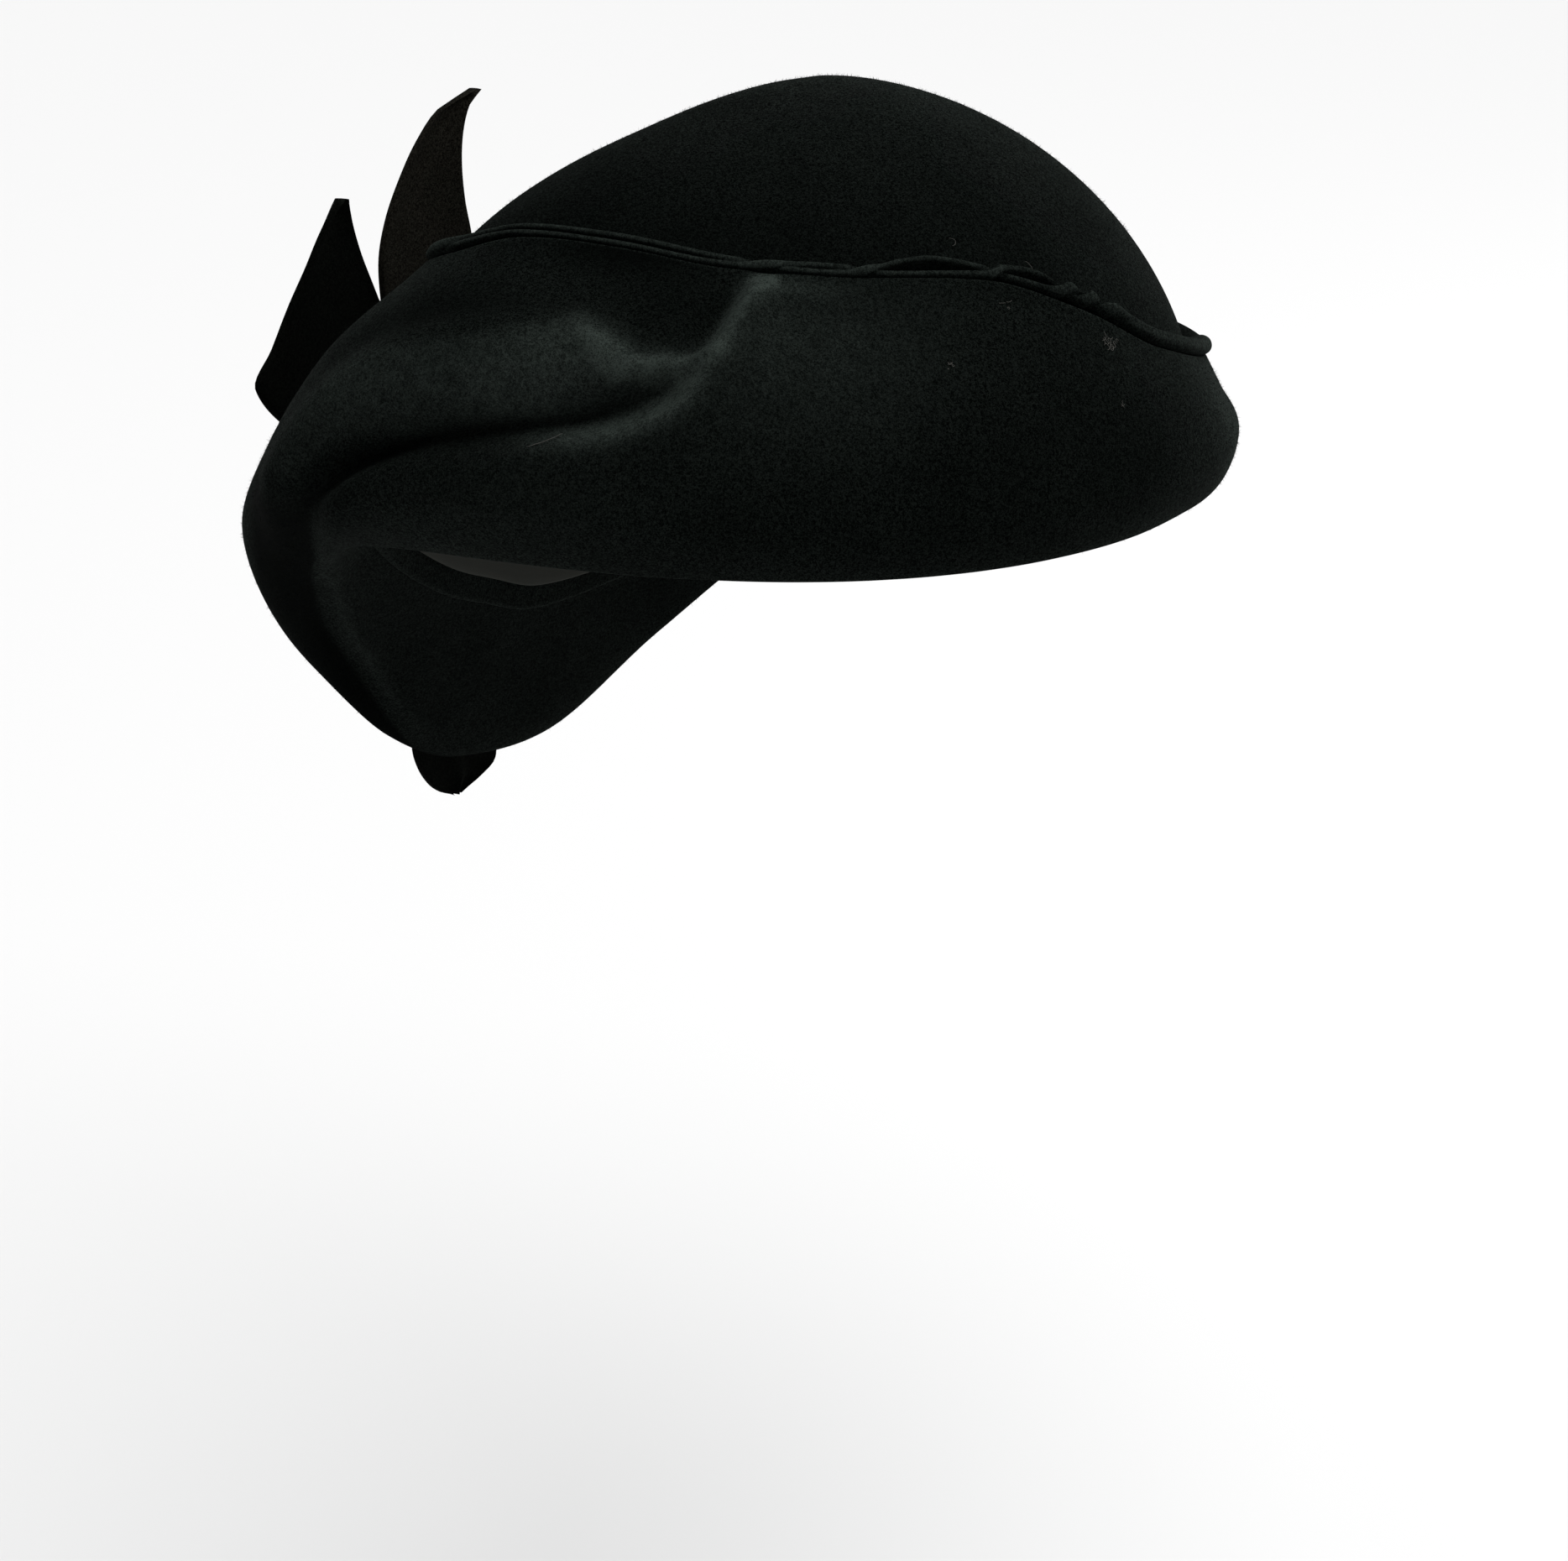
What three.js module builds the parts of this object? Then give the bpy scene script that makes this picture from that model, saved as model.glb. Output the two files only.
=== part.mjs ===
// A felt pillbox hat with a draped cuff.
// Millimetres, +Z up, the front of the hat faces -Y, its hanging side is at -X.
// The origin is the middle of the head opening, level with the lowest line of the front.
import * as THREE from "three";

// Sizes of the hat
const REACH = 100; // millimetres, the length that outward shares of the tables are taken of
const RISE = 80; // millimetres, the length that upward shares of the tables are taken of
const FELT = 2.5; // thickness of the felt
const GAP = 0.3; // air kept between neighbouring pieces
const WELT_AIR = 1.2; // air between the crown and the top edge of the cuff
const FOLD_AIR = 0.6; // air between the two layers of the cuff where it is folded on itself
const FELT_LEAST = 0.5; // thickness of the felt where it is folded tightest
const LEAST_SQUARE = 0.7; // a section is never thicker than FELT divided by this where it is cut aslant
const PEAK_BACK = 0.1; // the crown's peak lies this share of REACH behind the middle
const PEAK_UP = 0.94; // height of the peak as a share of RISE

// Sizes of the twisted band that covers the top edge of the cuff
const BAND_HIGH = 2.4; // half of its height where it is widest
const BAND_DEEP = 2.4; // half of its depth where it is widest
const BAND_HOLLOW = 1.6; // depth of its widest opening
const BAND_AIR = 0.8; // air between the band and the top edge of the cuff
const HOLLOW_WIDE = 0.35; // the opening's width, as a share of the band's

// Sizes of the ribbon inside the head opening
const RIBBON_THICK = 1;
const RIBBON_WIDE = 20;
const RIBBON_AIR = 0.8; // air between the ribbon and the crown
const RIBBON_FROM = 0.02; // share of the way up the crown where it starts

// Sizes of the long fold in the cuff and of the short crease that runs into it
const FOLD_DEEP = 9; // depth of the valley where it is deepest
const VALLEY_BELOW = 7; // how far the valley widens below its line
const VALLEY_ABOVE = 4.5; // and above it
const RIDGE_HIGH = 5; // height of the ridges beside it where they are highest
const RIDGE_BELOW = 6; // the lower ridge lies this far below the valley's line
const RIDGE_BELOW_WIDE = 7;
const RIDGE_ABOVE = 11; // the upper ridge lies this far above it
const RIDGE_ABOVE_WIDE = 8;
const CREASE_HIGH = 3; // height of the short crease's ridge
const CREASE_WIDE = 4;
const CREASE_FOOT = 9; // the hollow under the crease lies this far below its ridge
const CREASE_FOOT_WIDE = 6;
const CREASE_FOOT_DEEP = 0.5; // depth of that hollow as a share of the ridge's height
const EDGE_FADE = 0.05; // the folds die out over this share of the cuff above its lower edge
const WELT_FADE = 0.04; // and over this share below its top edge
const BEHIND = 240; // degrees, past which an angle is counted backwards from the front

const DENT_DEEP = 3; // depth of the deepest dent in the crown

// Sizes of the three pointed leaves at the side
const LEAF_THICK = 1.6;
const LEAF_AIR = 0.6; // air between one leaf and the next
const LEAF_CUP = 1.5; // how far a leaf's middle stands out from its edges
const LEAF_FLARE = 1.5; // how far its tip leans out

// Steps of the meshes round the head, in degrees. They are finest where the fold runs down.
const STEPS = [
  { from: -12, to: 8, cuff: 4, crown: 6.7 },
  { from: 8, to: 32, cuff: 2, crown: 6 },
  { from: 32, to: 126, cuff: 3.1, crown: 6.2 },
  { from: 126, to: 348, cuff: 8, crown: 8 },
];
const CROWN_RINGS = 11;
const LINES_BELOW = 6; // lines of the cuff's mesh below its fold
const LINES_ABOVE = 7; // and above it
const BESIDE_FOLD = [-13, -8, -4, 0, 3, 7, 12]; // millimetres from the fold to the lines beside it
const FOLD_RUN = 1; // degrees between the places that a line of folds is measured from

// The sections of the hat round the head. at is in degrees, from the front over the hanging side.
// edge is the head opening, fold the lowest line of the cuff and crest its widest line.
// full is how far the cuff swells above the crest. All these are [outward, upward] shares.
// swell above 1 makes the crown more pointed there, below 1 more domed.
const SECTIONS = [
  { at: 0, edge: [0.82, 0.05], fold: [0.85, 0], crest: [0.9, 0.16], full: 0.05, swell: 1.08 },
  { at: 20, edge: [0.84, 0.04], fold: [0.88, 0], crest: [0.95, 0.18], full: 0.07, swell: 1.08 },
  { at: 40, edge: [0.9, 0.04], fold: [0.96, 0], crest: [1.06, 0.2], full: 0.08, swell: 1 },
  { at: 55, edge: [0.97, 0.02], fold: [1.05, -0.02], crest: [1.15, 0.15], full: 0.08, swell: 0.93 },
  { at: 65, edge: [0.99, -0.04], fold: [1.09, -0.09], crest: [1.2, 0.08], full: 0.07, swell: 0.89 },
  { at: 76, edge: [0.96, -0.17], fold: [1.11, -0.27], crest: [1.2, -0.02], full: 0.05, swell: 0.86 },
  { at: 86, edge: [0.89, -0.32], fold: [1.12, -0.5], crest: [1.22, -0.18], full: 0.02, swell: 0.85 },
  { at: 96, edge: [0.83, -0.44], fold: [1.09, -0.72], crest: [1.16, -0.38], full: 0.02, swell: 0.86 },
  { at: 106, edge: [0.79, -0.52], fold: [1.02, -0.97], crest: [1.07, -0.55], full: 0.04, swell: 0.88 },
  { at: 118, edge: [0.76, -0.6], fold: [0.96, -1.12], crest: [1.03, -0.7], full: 0.08, swell: 0.9 },
  { at: 135, edge: [0.76, -0.62], fold: [0.9, -1.12], crest: [1.01, -0.7], full: 0.08, swell: 0.94 },
  { at: 155, edge: [0.82, -0.6], fold: [0.91, -0.9], crest: [1.01, -0.55], full: 0.07, swell: 1 },
  { at: 180, edge: [0.9, -0.5], fold: [0.95, -0.58], crest: [1.03, -0.32], full: 0.05, swell: 1 },
  { at: 210, edge: [0.9, -0.3], fold: [0.94, -0.36], crest: [1, -0.15], full: 0.04, swell: 1.02 },
  { at: 240, edge: [0.85, -0.11], fold: [0.88, -0.16], crest: [0.92, -0.02], full: 0.02, swell: 1.04 },
  { at: 270, edge: [0.79, 0.02], fold: [0.84, -0.04], crest: [0.87, 0.08], full: 0, swell: 1.03 },
  { at: 300, edge: [0.79, 0.05], fold: [0.84, 0], crest: [0.88, 0.12], full: 0.02, swell: 1.02 },
  { at: 315, edge: [0.8, 0.05], fold: [0.84, 0], crest: [0.88, 0.14], full: 0.03, swell: 1.02 },
  { at: 330, edge: [0.8, 0.06], fold: [0.84, 0], crest: [0.88, 0.15], full: 0.04, swell: 1.05 },
];

// Where the cuff ends on the crown: up is 0 at the head opening and 1 at the peak.
const WELT = [
  { at: 0, up: 0.455 },
  { at: 20, up: 0.47 },
  { at: 40, up: 0.485 },
  { at: 55, up: 0.475 },
  { at: 65, up: 0.425 },
  { at: 76, up: 0.4 },
  { at: 86, up: 0.39 },
  { at: 96, up: 0.385 },
  { at: 106, up: 0.38 },
  { at: 118, up: 0.375 },
  { at: 135, up: 0.36 },
  { at: 155, up: 0.33 },
  { at: 180, up: 0.29 },
  { at: 210, up: 0.23 },
  { at: 240, up: 0.18 },
  { at: 270, up: 0.155 },
  { at: 300, up: 0.245 },
  { at: 315, up: 0.345 },
  { at: 330, up: 0.42 },
];

// Shallow dents pressed in the crown: angle, share of the way up, their widths, and their depth.
const DENTS = [
  { at: 80, up: 0.7, wide: 50, tall: 0.24, deep: 1 },
  { at: 62, up: 0.82, wide: 30, tall: 0.1, deep: 0.4 },
];

// The long fold that runs down from the band and round the hanging side.
// up is its place on the cuff, from 0 at the head opening to 1 at the welt.
// deep is its valley, a share of FOLD_DEEP; below and above are the ridges, shares of RIDGE_HIGH.
const FOLD = [
  { at: 8, up: 1.06, deep: 0, below: 0, above: 0 },
  { at: 13, up: 1, deep: 0.1, below: 0.6, above: 0 },
  { at: 15.5, up: 0.92, deep: 0.32, below: 1, above: 0 },
  { at: 17.5, up: 0.79, deep: 0.42, below: 1, above: 0 },
  { at: 19.5, up: 0.69, deep: 0.53, below: 1, above: 0 },
  { at: 23, up: 0.63, deep: 0.68, below: 0.8, above: 0 },
  { at: 30, up: 0.57, deep: 0.79, below: 0.5, above: 0.2 },
  { at: 37, up: 0.55, deep: 0.9, below: 0.2, above: 0.5 },
  { at: 44, up: 0.53, deep: 1, below: 0, above: 0.7 },
  { at: 49, up: 0.5, deep: 1, below: 0, above: 0.8 },
  { at: 53, up: 0.46, deep: 0.9, below: 0.1, above: 0.8 },
  { at: 56, up: 0.41, deep: 0.75, below: 0.3, above: 0.6 },
  { at: 58.5, up: 0.345, deep: 0.6, below: 0.5, above: 0.4 },
  { at: 61, up: 0.275, deep: 0.5, below: 0.6, above: 0.2 },
  { at: 65, up: 0.21, deep: 0.45, below: 0.8, above: 0.1 },
  { at: 71, up: 0.155, deep: 0.4, below: 1, above: 0 },
  { at: 79, up: 0.13, deep: 0.4, below: 1, above: 0 },
  { at: 90, up: 0.15, deep: 0.4, below: 1, above: 0 },
  { at: 98, up: 0.175, deep: 0.4, below: 0.8, above: 0 },
  { at: 105, up: 0.21, deep: 0.3, below: 0.5, above: 0 },
  { at: 114, up: 0.25, deep: 0, below: 0, above: 0 },
];

// The short crease that runs into the long fold from the side; high is a share of CREASE_HIGH.
const CREASE = [
  { at: 10, up: 0.72, high: 0 },
  { at: 15, up: 0.715, high: 0.6 },
  { at: 20, up: 0.7, high: 1 },
  { at: 25, up: 0.685, high: 1 },
  { at: 30, up: 0.705, high: 0.8 },
  { at: 34, up: 0.745, high: 0.3 },
  { at: 38, up: 0.78, high: 0 },
];

// The band. It opens in long hollows and closes where it crosses over itself.
// high and deep are shares of its half height and depth, open of its hollow's depth.
const BAND = [
  { at: 0, high: 0.6, deep: 0.95, open: 0.6 },
  { at: 8, high: 0.55, deep: 1, open: 0 },
  { at: 15, high: 0.6, deep: 1, open: 0 },
  { at: 22, high: 0.62, deep: 0.95, open: 0.7 },
  { at: 44, high: 0.66, deep: 0.95, open: 1 },
  { at: 58, high: 0.68, deep: 0.9, open: 0.5 },
  { at: 68, high: 0.56, deep: 0.8, open: 0 },
  { at: 130, high: 0.5, deep: 0.75, open: 0 },
  { at: 200, high: 0.5, deep: 0.7, open: 0 },
  { at: 265, high: 0.55, deep: 0.7, open: 0 },
  { at: 277, high: 0.9, deep: 0.9, open: 0 },
  { at: 288, high: 0.75, deep: 0.8, open: 0 },
  { at: 300, high: 0.72, deep: 0.8, open: 0 },
  { at: 310, high: 0.9, deep: 0.9, open: 0.2 },
  { at: 318, high: 1, deep: 0.95, open: 0.4 },
  { at: 325, high: 0.9, deep: 0.95, open: 0.5 },
  { at: 330, high: 0.66, deep: 1, open: 0 },
  { at: 340, high: 1, deep: 0.95, open: 1 },
  { at: 348, high: 0.8, deep: 0.95, open: 0.5 },
  { at: 354, high: 0.56, deep: 1, open: 0 },
];

// The leaves, from root to tip. up is a share of RISE, near and far are their edges in degrees.
const TALL_LEAF = [
  { up: -0.5, near: 120, far: 126 },
  { up: -0.25, near: 118, far: 128.5 },
  { up: 0, near: 116.5, far: 130.5 },
  { up: 0.2, near: 115.6, far: 131 },
  { up: 0.35, near: 115.5, far: 131 },
  { up: 0.46, near: 117.2, far: 130.2 },
  { up: 0.57, near: 120.4, far: 130 },
  { up: 0.66, near: 123.8, far: 130.6 },
  { up: 0.73, near: 127.8, far: 132 },
  { up: 0.76, near: 132.8, far: 133.8 },
];
const SHORT_LEAF = [
  { up: -0.5, near: 119, far: 126 },
  { up: -0.3, near: 113.5, far: 125 },
  { up: -0.1, near: 103.5, far: 122 },
  { up: 0.1, near: 97, far: 118.6 },
  { up: 0.19, near: 99.6, far: 116.8 },
  { up: 0.3, near: 102.4, far: 114.8 },
  { up: 0.38, near: 104.8, far: 113.4 },
  { up: 0.46, near: 107.4, far: 112.4 },
  { up: 0.52, near: 110, far: 112 },
  { up: 0.54, near: 111.4, far: 112 },
];
const LOW_LEAF = [
  { up: -0.5, near: 120, far: 126 },
  { up: -0.7, near: 117.5, far: 128.5 },
  { up: -0.9, near: 116, far: 130 },
  { up: -1.1, near: 116, far: 131 },
  { up: -1.18, near: 117.2, far: 131 },
  { up: -1.25, near: 119.4, far: 130.6 },
  { up: -1.29, near: 121.6, far: 127.2 },
  { up: -1.31, near: 123.4, far: 124.6 },
];

// The smooth curve through the values of a table at x, with equal slopes on both sides of a row.
function smooth(rows, value, x, i) {
  const a = rows[i];
  const b = rows[i + 1];
  const step = b.at - a.at;
  const t = (x - a.at) / step;
  const slope = (k) => {
    const before = rows[k - 1];
    const after = rows[k + 1];
    return before && after ? (value(after) - value(before)) / (after.at - before.at) : 0;
  };
  return (
    (2 * t ** 3 - 3 * t ** 2 + 1) * value(a) +
    (t ** 3 - 2 * t ** 2 + t) * step * slope(i) +
    (3 * t ** 2 - 2 * t ** 3) * value(b) +
    (t ** 3 - t ** 2) * step * slope(i + 1)
  );
}

// A value along a table that ends at its first and last rows.
function along(rows, value, x) {
  const held = Math.min(Math.max(x, rows[0].at), rows[rows.length - 1].at);
  let i = 0;
  while (i < rows.length - 2 && held > rows[i + 1].at) i++;
  return smooth(rows, value, held, i);
}

// The rows of a table that goes all round the head, repeated past both ends.
function closed(rows) {
  const turned = (turn) => rows.map((row) => ({ ...row, at: row.at + turn }));
  return [...turned(-360), ...rows, ...turned(360)];
}

const ROUND_SECTIONS = closed(SECTIONS);
const ROUND_BAND = closed(BAND);
const ROUND_WELT = closed(WELT);

// The section of the hat at an angle, in millimetres.
function sectionAt(angle) {
  const turned = THREE.MathUtils.euclideanModulo(angle, 360);
  const read = (value) => along(ROUND_SECTIONS, value, turned);
  const point = (name) =>
    new THREE.Vector2(REACH * read((row) => row[name][0]), RISE * read((row) => row[name][1]));
  return {
    edge: point("edge"),
    fold: point("fold"),
    crest: point("crest"),
    full: REACH * read((row) => row.full),
    welt: along(ROUND_WELT, (row) => row.up, turned),
    swell: read((row) => row.swell),
  };
}

// The outward direction at an angle.
function outward(angle) {
  const turn = THREE.MathUtils.degToRad(angle);
  return new THREE.Vector3(-Math.sin(turn), -Math.cos(turn), 0);
}

// A point of the hat from its angle and its [outward, upward] place.
function placed(angle, flat) {
  return outward(angle).multiplyScalar(flat.x).setZ(flat.y);
}

function bump(x) {
  return Math.exp(-x * x);
}

// The outer face of the crown; up is 0 at the head opening and 1 at the peak.
function crownPoint(angle, up) {
  const section = sectionAt(angle);
  const turn = (Math.min(up, 1) * Math.PI) / 2;
  const level = up >= 1 ? 0 : Math.cos(turn) ** section.swell;
  const lift = Math.sin(turn) ** section.swell;
  const peak = RISE * PEAK_UP;
  const point = outward(angle).multiplyScalar(section.edge.x * level);
  point.y += REACH * PEAK_BACK * (1 - level);
  point.z = section.edge.y + (peak - section.edge.y) * lift;
  for (const dent of DENTS) {
    const beside = THREE.MathUtils.euclideanModulo(angle - dent.at + 180, 360) - 180;
    const near = bump(beside / dent.wide) * bump((up - dent.up) / dent.tall);
    point.z -= DENT_DEEP * dent.deep * near * (1 - up ** 8);
  }
  return point;
}

// The unit normal of a face at (a, b), from its neighbours on both sides.
function normalOf(face, a, b, stepA, stepB, lowB, highB) {
  const alongA = face(a + stepA, b).sub(face(a - stepA, b));
  const upper = Math.min(highB, b + stepB);
  const lower = Math.max(lowB, b - stepB);
  const alongB = face(a, upper).sub(face(a, lower));
  return alongB.cross(alongA).normalize();
}

// The crown's section at (angle, up): its [outward, upward] place, the direction square to it
// there, and how far that direction runs for each millimetre away from the sloping face.
function crownFlat(angle, up) {
  const point = crownPoint(angle, up);
  const next = crownPoint(angle, up + 0.01);
  const place = new THREE.Vector2(Math.hypot(point.x, point.y), point.z);
  const run = new THREE.Vector2(Math.hypot(next.x, next.y), next.z).sub(place).normalize();
  const out = new THREE.Vector2(run.y, -run.x);
  const square = normalOf(crownPoint, angle, up, 1, 0.01, 0, 0.98);
  return { place, out, slant: 1 / placed(angle, out).dot(square) };
}

// The places along a line of folds, close enough together to be straight in between.
function lineOf(rows) {
  const first = rows[0].at;
  const last = rows[rows.length - 1].at;
  const count = Math.ceil((last - first) / FOLD_RUN);
  return Array.from({ length: count + 1 }, (_, i) => {
    const at = THREE.MathUtils.lerp(first, last, i / count);
    return { at, up: along(rows, (row) => row.up, at) };
  });
}

const FOLD_LINE = lineOf(FOLD);
const CREASE_LINE = lineOf(CREASE);

// How far a place of the cuff lies above a line of folds, and the angle on the line nearest to it.
// The cuff is measured as if it were rolled out flat.
function besideLine(rows, line, angle, up, length) {
  const flat = (at, share) => new THREE.Vector2(THREE.MathUtils.degToRad(at) * REACH, share * length);
  const place = flat(angle, up);
  let far = Infinity;
  let nearest = angle;
  for (let i = 1; i < line.length; i++) {
    const from = flat(line[i - 1].at, line[i - 1].up);
    const run = flat(line[i].at, line[i].up).sub(from);
    const share = THREE.MathUtils.clamp(place.clone().sub(from).dot(run) / run.lengthSq(), 0, 1);
    const away = from.addScaledVector(run, share).distanceTo(place);
    if (away < far) {
      far = away;
      nearest = THREE.MathUtils.lerp(line[i - 1].at, line[i].at, share);
    }
  }
  const lies = up > along(rows, (row) => row.up, angle) ? 1 : -1;
  return { d: far * lies, nearest };
}

// How far the cuff stands out from its plain shape, beside its folds.
function foldLift(angle, up, length) {
  const turned = angle > BEHIND ? angle - 360 : angle;
  const { d, nearest } = besideLine(FOLD, FOLD_LINE, turned, up, length);
  const read = (name) => along(FOLD, (row) => row[name], nearest);
  const valley = FOLD_DEEP * read("deep") * bump(d / (d > 0 ? VALLEY_ABOVE : VALLEY_BELOW));
  const lower = RIDGE_HIGH * read("below") * bump((d + RIDGE_BELOW) / RIDGE_BELOW_WIDE);
  const upper = RIDGE_HIGH * read("above") * bump((d - RIDGE_ABOVE) / RIDGE_ABOVE_WIDE);
  const short = besideLine(CREASE, CREASE_LINE, turned, up, length);
  const high = CREASE_HIGH * along(CREASE, (row) => row.high, short.nearest);
  const crease = high * bump(short.d / CREASE_WIDE);
  const foot = CREASE_FOOT_DEEP * high * bump((short.d + CREASE_FOOT) / CREASE_FOOT_WIDE);
  const fade = Math.min(1, up / EDGE_FADE) * Math.min(1, (1 - up) / WELT_FADE);
  return (lower + upper - valley + crease - foot) * fade;
}

// The places of the cuff's section that its curve goes through: edge, fold, crest, shoulder, welt.
function cuffFrame(angle) {
  const section = sectionAt(angle);
  const edge = section.edge.clone().add(new THREE.Vector2(GAP, 0));
  const onCrown = crownFlat(angle, section.welt);
  const welt = onCrown.place.addScaledVector(onCrown.out, (FELT + WELT_AIR) * onCrown.slant);
  const rise = welt.clone().sub(section.crest).normalize();
  const shoulder = section.crest.clone().add(welt).multiplyScalar(0.5);
  shoulder.add(new THREE.Vector2(rise.y, -rise.x).multiplyScalar(section.full));
  return [edge, section.fold, section.crest, shoulder, welt];
}

// A plain curve through the places, and its length. Steps follow the distance between them.
function plainCurve(places) {
  const marks = [0];
  let length = 0;
  for (let i = 1; i < places.length; i++) {
    const step = places[i].distanceTo(places[i - 1]);
    length += step;
    marks.push(marks[i - 1] + step ** 0.7);
  }
  const total = marks[marks.length - 1];
  const rows = places.map((place, i) => ({ at: marks[i] / total, place }));
  // the curve runs on straight past its two ends
  const last = rows.length - 1;
  const beyond = (k, from) => ({
    at: 2 * rows[k].at - rows[from].at,
    place: rows[k].place.clone().multiplyScalar(2).sub(rows[from].place),
  });
  const open = [beyond(0, 1), ...rows, beyond(last, last - 1)];
  const at = (up) => {
    let i = 1;
    while (i < last && up > open[i + 1].at) i++;
    return new THREE.Vector2(
      smooth(open, (row) => row.place.x, up, i),
      smooth(open, (row) => row.place.y, up, i),
    );
  };
  return { at, length };
}

// The crown's sections under the cuff, kept for each angle.
const underCuff = new Map();
function crownUnderCuff(angle) {
  if (!underCuff.has(angle)) {
    const steps = 14;
    const rows = [];
    for (let i = 1; i <= steps; i++) rows.push(crownFlat(angle, (sectionAt(angle).welt * i) / steps));
    underCuff.set(angle, rows);
  }
  return underCuff.get(angle);
}

// A place of the cuff, moved out where it would press its felt into the crown.
function clearOfCrown(angle, flat) {
  let nearest = Infinity;
  let short = 0;
  let out = null;
  for (const row of crownUnderCuff(angle)) {
    const away = flat.clone().sub(row.place);
    if (away.length() < nearest) {
      nearest = away.length();
      short = (FELT + WELT_AIR) * row.slant - away.dot(row.out);
      out = row.out;
    }
  }
  return short > 0 ? flat.addScaledVector(out, short) : flat;
}

// The outer face of the cuff; up is 0 at the head opening and 1 at the welt.
function cuffFlat(angle, up) {
  const curve = plainCurve(cuffFrame(angle));
  const step = 0.01;
  const run = curve.at(Math.min(1, up + step)).sub(curve.at(Math.max(0, up - step))).normalize();
  const out = new THREE.Vector2(run.y, -run.x);
  const place = curve.at(up).add(out.multiplyScalar(foldLift(angle, up, curve.length)));
  return up > 0.5 ? clearOfCrown(angle, place) : place;
}

function cuffPoint(angle, up) {
  return placed(angle, cuffFlat(angle, up));
}

// The widest reach of the cuff at an angle, which the leaves lie on.
function cuffReach(angle) {
  let widest = 0;
  for (let i = 0; i <= 40; i++) {
    widest = Math.max(widest, cuffFlat(angle, i / 40).x);
  }
  return widest;
}

// Angles of the mesh lines of a piece, from its column of STEPS.
function roundAngles(piece) {
  return STEPS.flatMap((row) => {
    const count = Math.round((row.to - row.from) / row[piece]);
    return Array.from({ length: count }, (_, i) => THREE.MathUtils.lerp(row.from, row.to, i / count));
  });
}

// A mesh from points and triangles.
function meshOf(name, points, triangles, look) {
  const geometry = new THREE.BufferGeometry();
  const numbers = points.flatMap((p) => p.toArray());
  geometry.setAttribute("position", new THREE.Float32BufferAttribute(numbers, 3));
  geometry.setIndex(triangles.flat());
  geometry.computeVertexNormals();
  const mesh = new THREE.Mesh(geometry, new THREE.MeshStandardMaterial(look));
  mesh.name = name;
  return mesh;
}

// A closed ring of felt: rows of outer points and rows of inner points, one row for each angle.
// The rows join from the last back to the first.
function ringWall(name, outer, inner, look) {
  const rows = outer.length;
  const wide = outer[0].length;
  const points = [...outer.flat(), ...inner.flat()];
  const id = (side, i, j) => side * rows * wide + (i % rows) * wide + j;
  const triangles = [];
  const quad = (a, b, c, d) => triangles.push([a, b, c], [a, c, d]);
  for (let i = 0; i < rows; i++) {
    for (let j = 0; j < wide - 1; j++) {
      quad(id(0, i, j), id(0, i, j + 1), id(0, i + 1, j + 1), id(0, i + 1, j));
      quad(id(1, i, j), id(1, i + 1, j), id(1, i + 1, j + 1), id(1, i, j + 1));
    }
    const end = wide - 1;
    quad(id(0, i, 0), id(0, i + 1, 0), id(1, i + 1, 0), id(1, i, 0));
    quad(id(0, i, end), id(1, i, end), id(1, i + 1, end), id(0, i + 1, end));
  }
  return meshOf(name, points, triangles, look);
}

const FELT_LOOK = { color: 0x1a1d1c, roughness: 0.95, metalness: 0 };
const RIBBON_LOOK = { color: 0x232522, roughness: 0.7, metalness: 0 };

// The crown: a dome of felt, open below.
function makeCrown() {
  const angles = roundAngles("crown");
  const points = [];
  const peak = crownPoint(0, 1);
  for (const side of [0, 1]) {
    for (const angle of angles) {
      for (let j = 0; j < CROWN_RINGS; j++) {
        const up = (j / CROWN_RINGS) ** 0.9;
        const point = crownPoint(angle, up);
        const inward = normalOf(crownPoint, angle, up, 1, 0.01, 0, 0.98).multiplyScalar(-FELT);
        points.push(side ? point.add(inward) : point);
      }
    }
    points.push(peak.clone().setZ(peak.z - side * FELT));
  }
  const half = points.length / 2;
  const count = angles.length;
  const id = (side, i, j) => side * half + (j === CROWN_RINGS ? half - 1 : (i % count) * CROWN_RINGS + j);
  const triangles = [];
  for (let i = 0; i < count; i++) {
    for (let j = 0; j < CROWN_RINGS; j++) {
      const a = (side) => [id(side, i, j), id(side, i + 1, j), id(side, i + 1, j + 1), id(side, i, j + 1)];
      const [o0, o1, o2, o3] = a(0);
      const [n0, n1, n2, n3] = a(1);
      triangles.push([o0, o3, o1], [n0, n1, n3]);
      if (j < CROWN_RINGS - 1) triangles.push([o1, o3, o2], [n1, n2, n3]);
    }
    const rim = [id(0, i, 0), id(0, i + 1, 0), id(1, i + 1, 0), id(1, i, 0)];
    triangles.push([rim[0], rim[1], rim[2]], [rim[0], rim[2], rim[3]]);
  }
  return meshOf("crown", points, triangles, FELT_LOOK);
}

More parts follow.
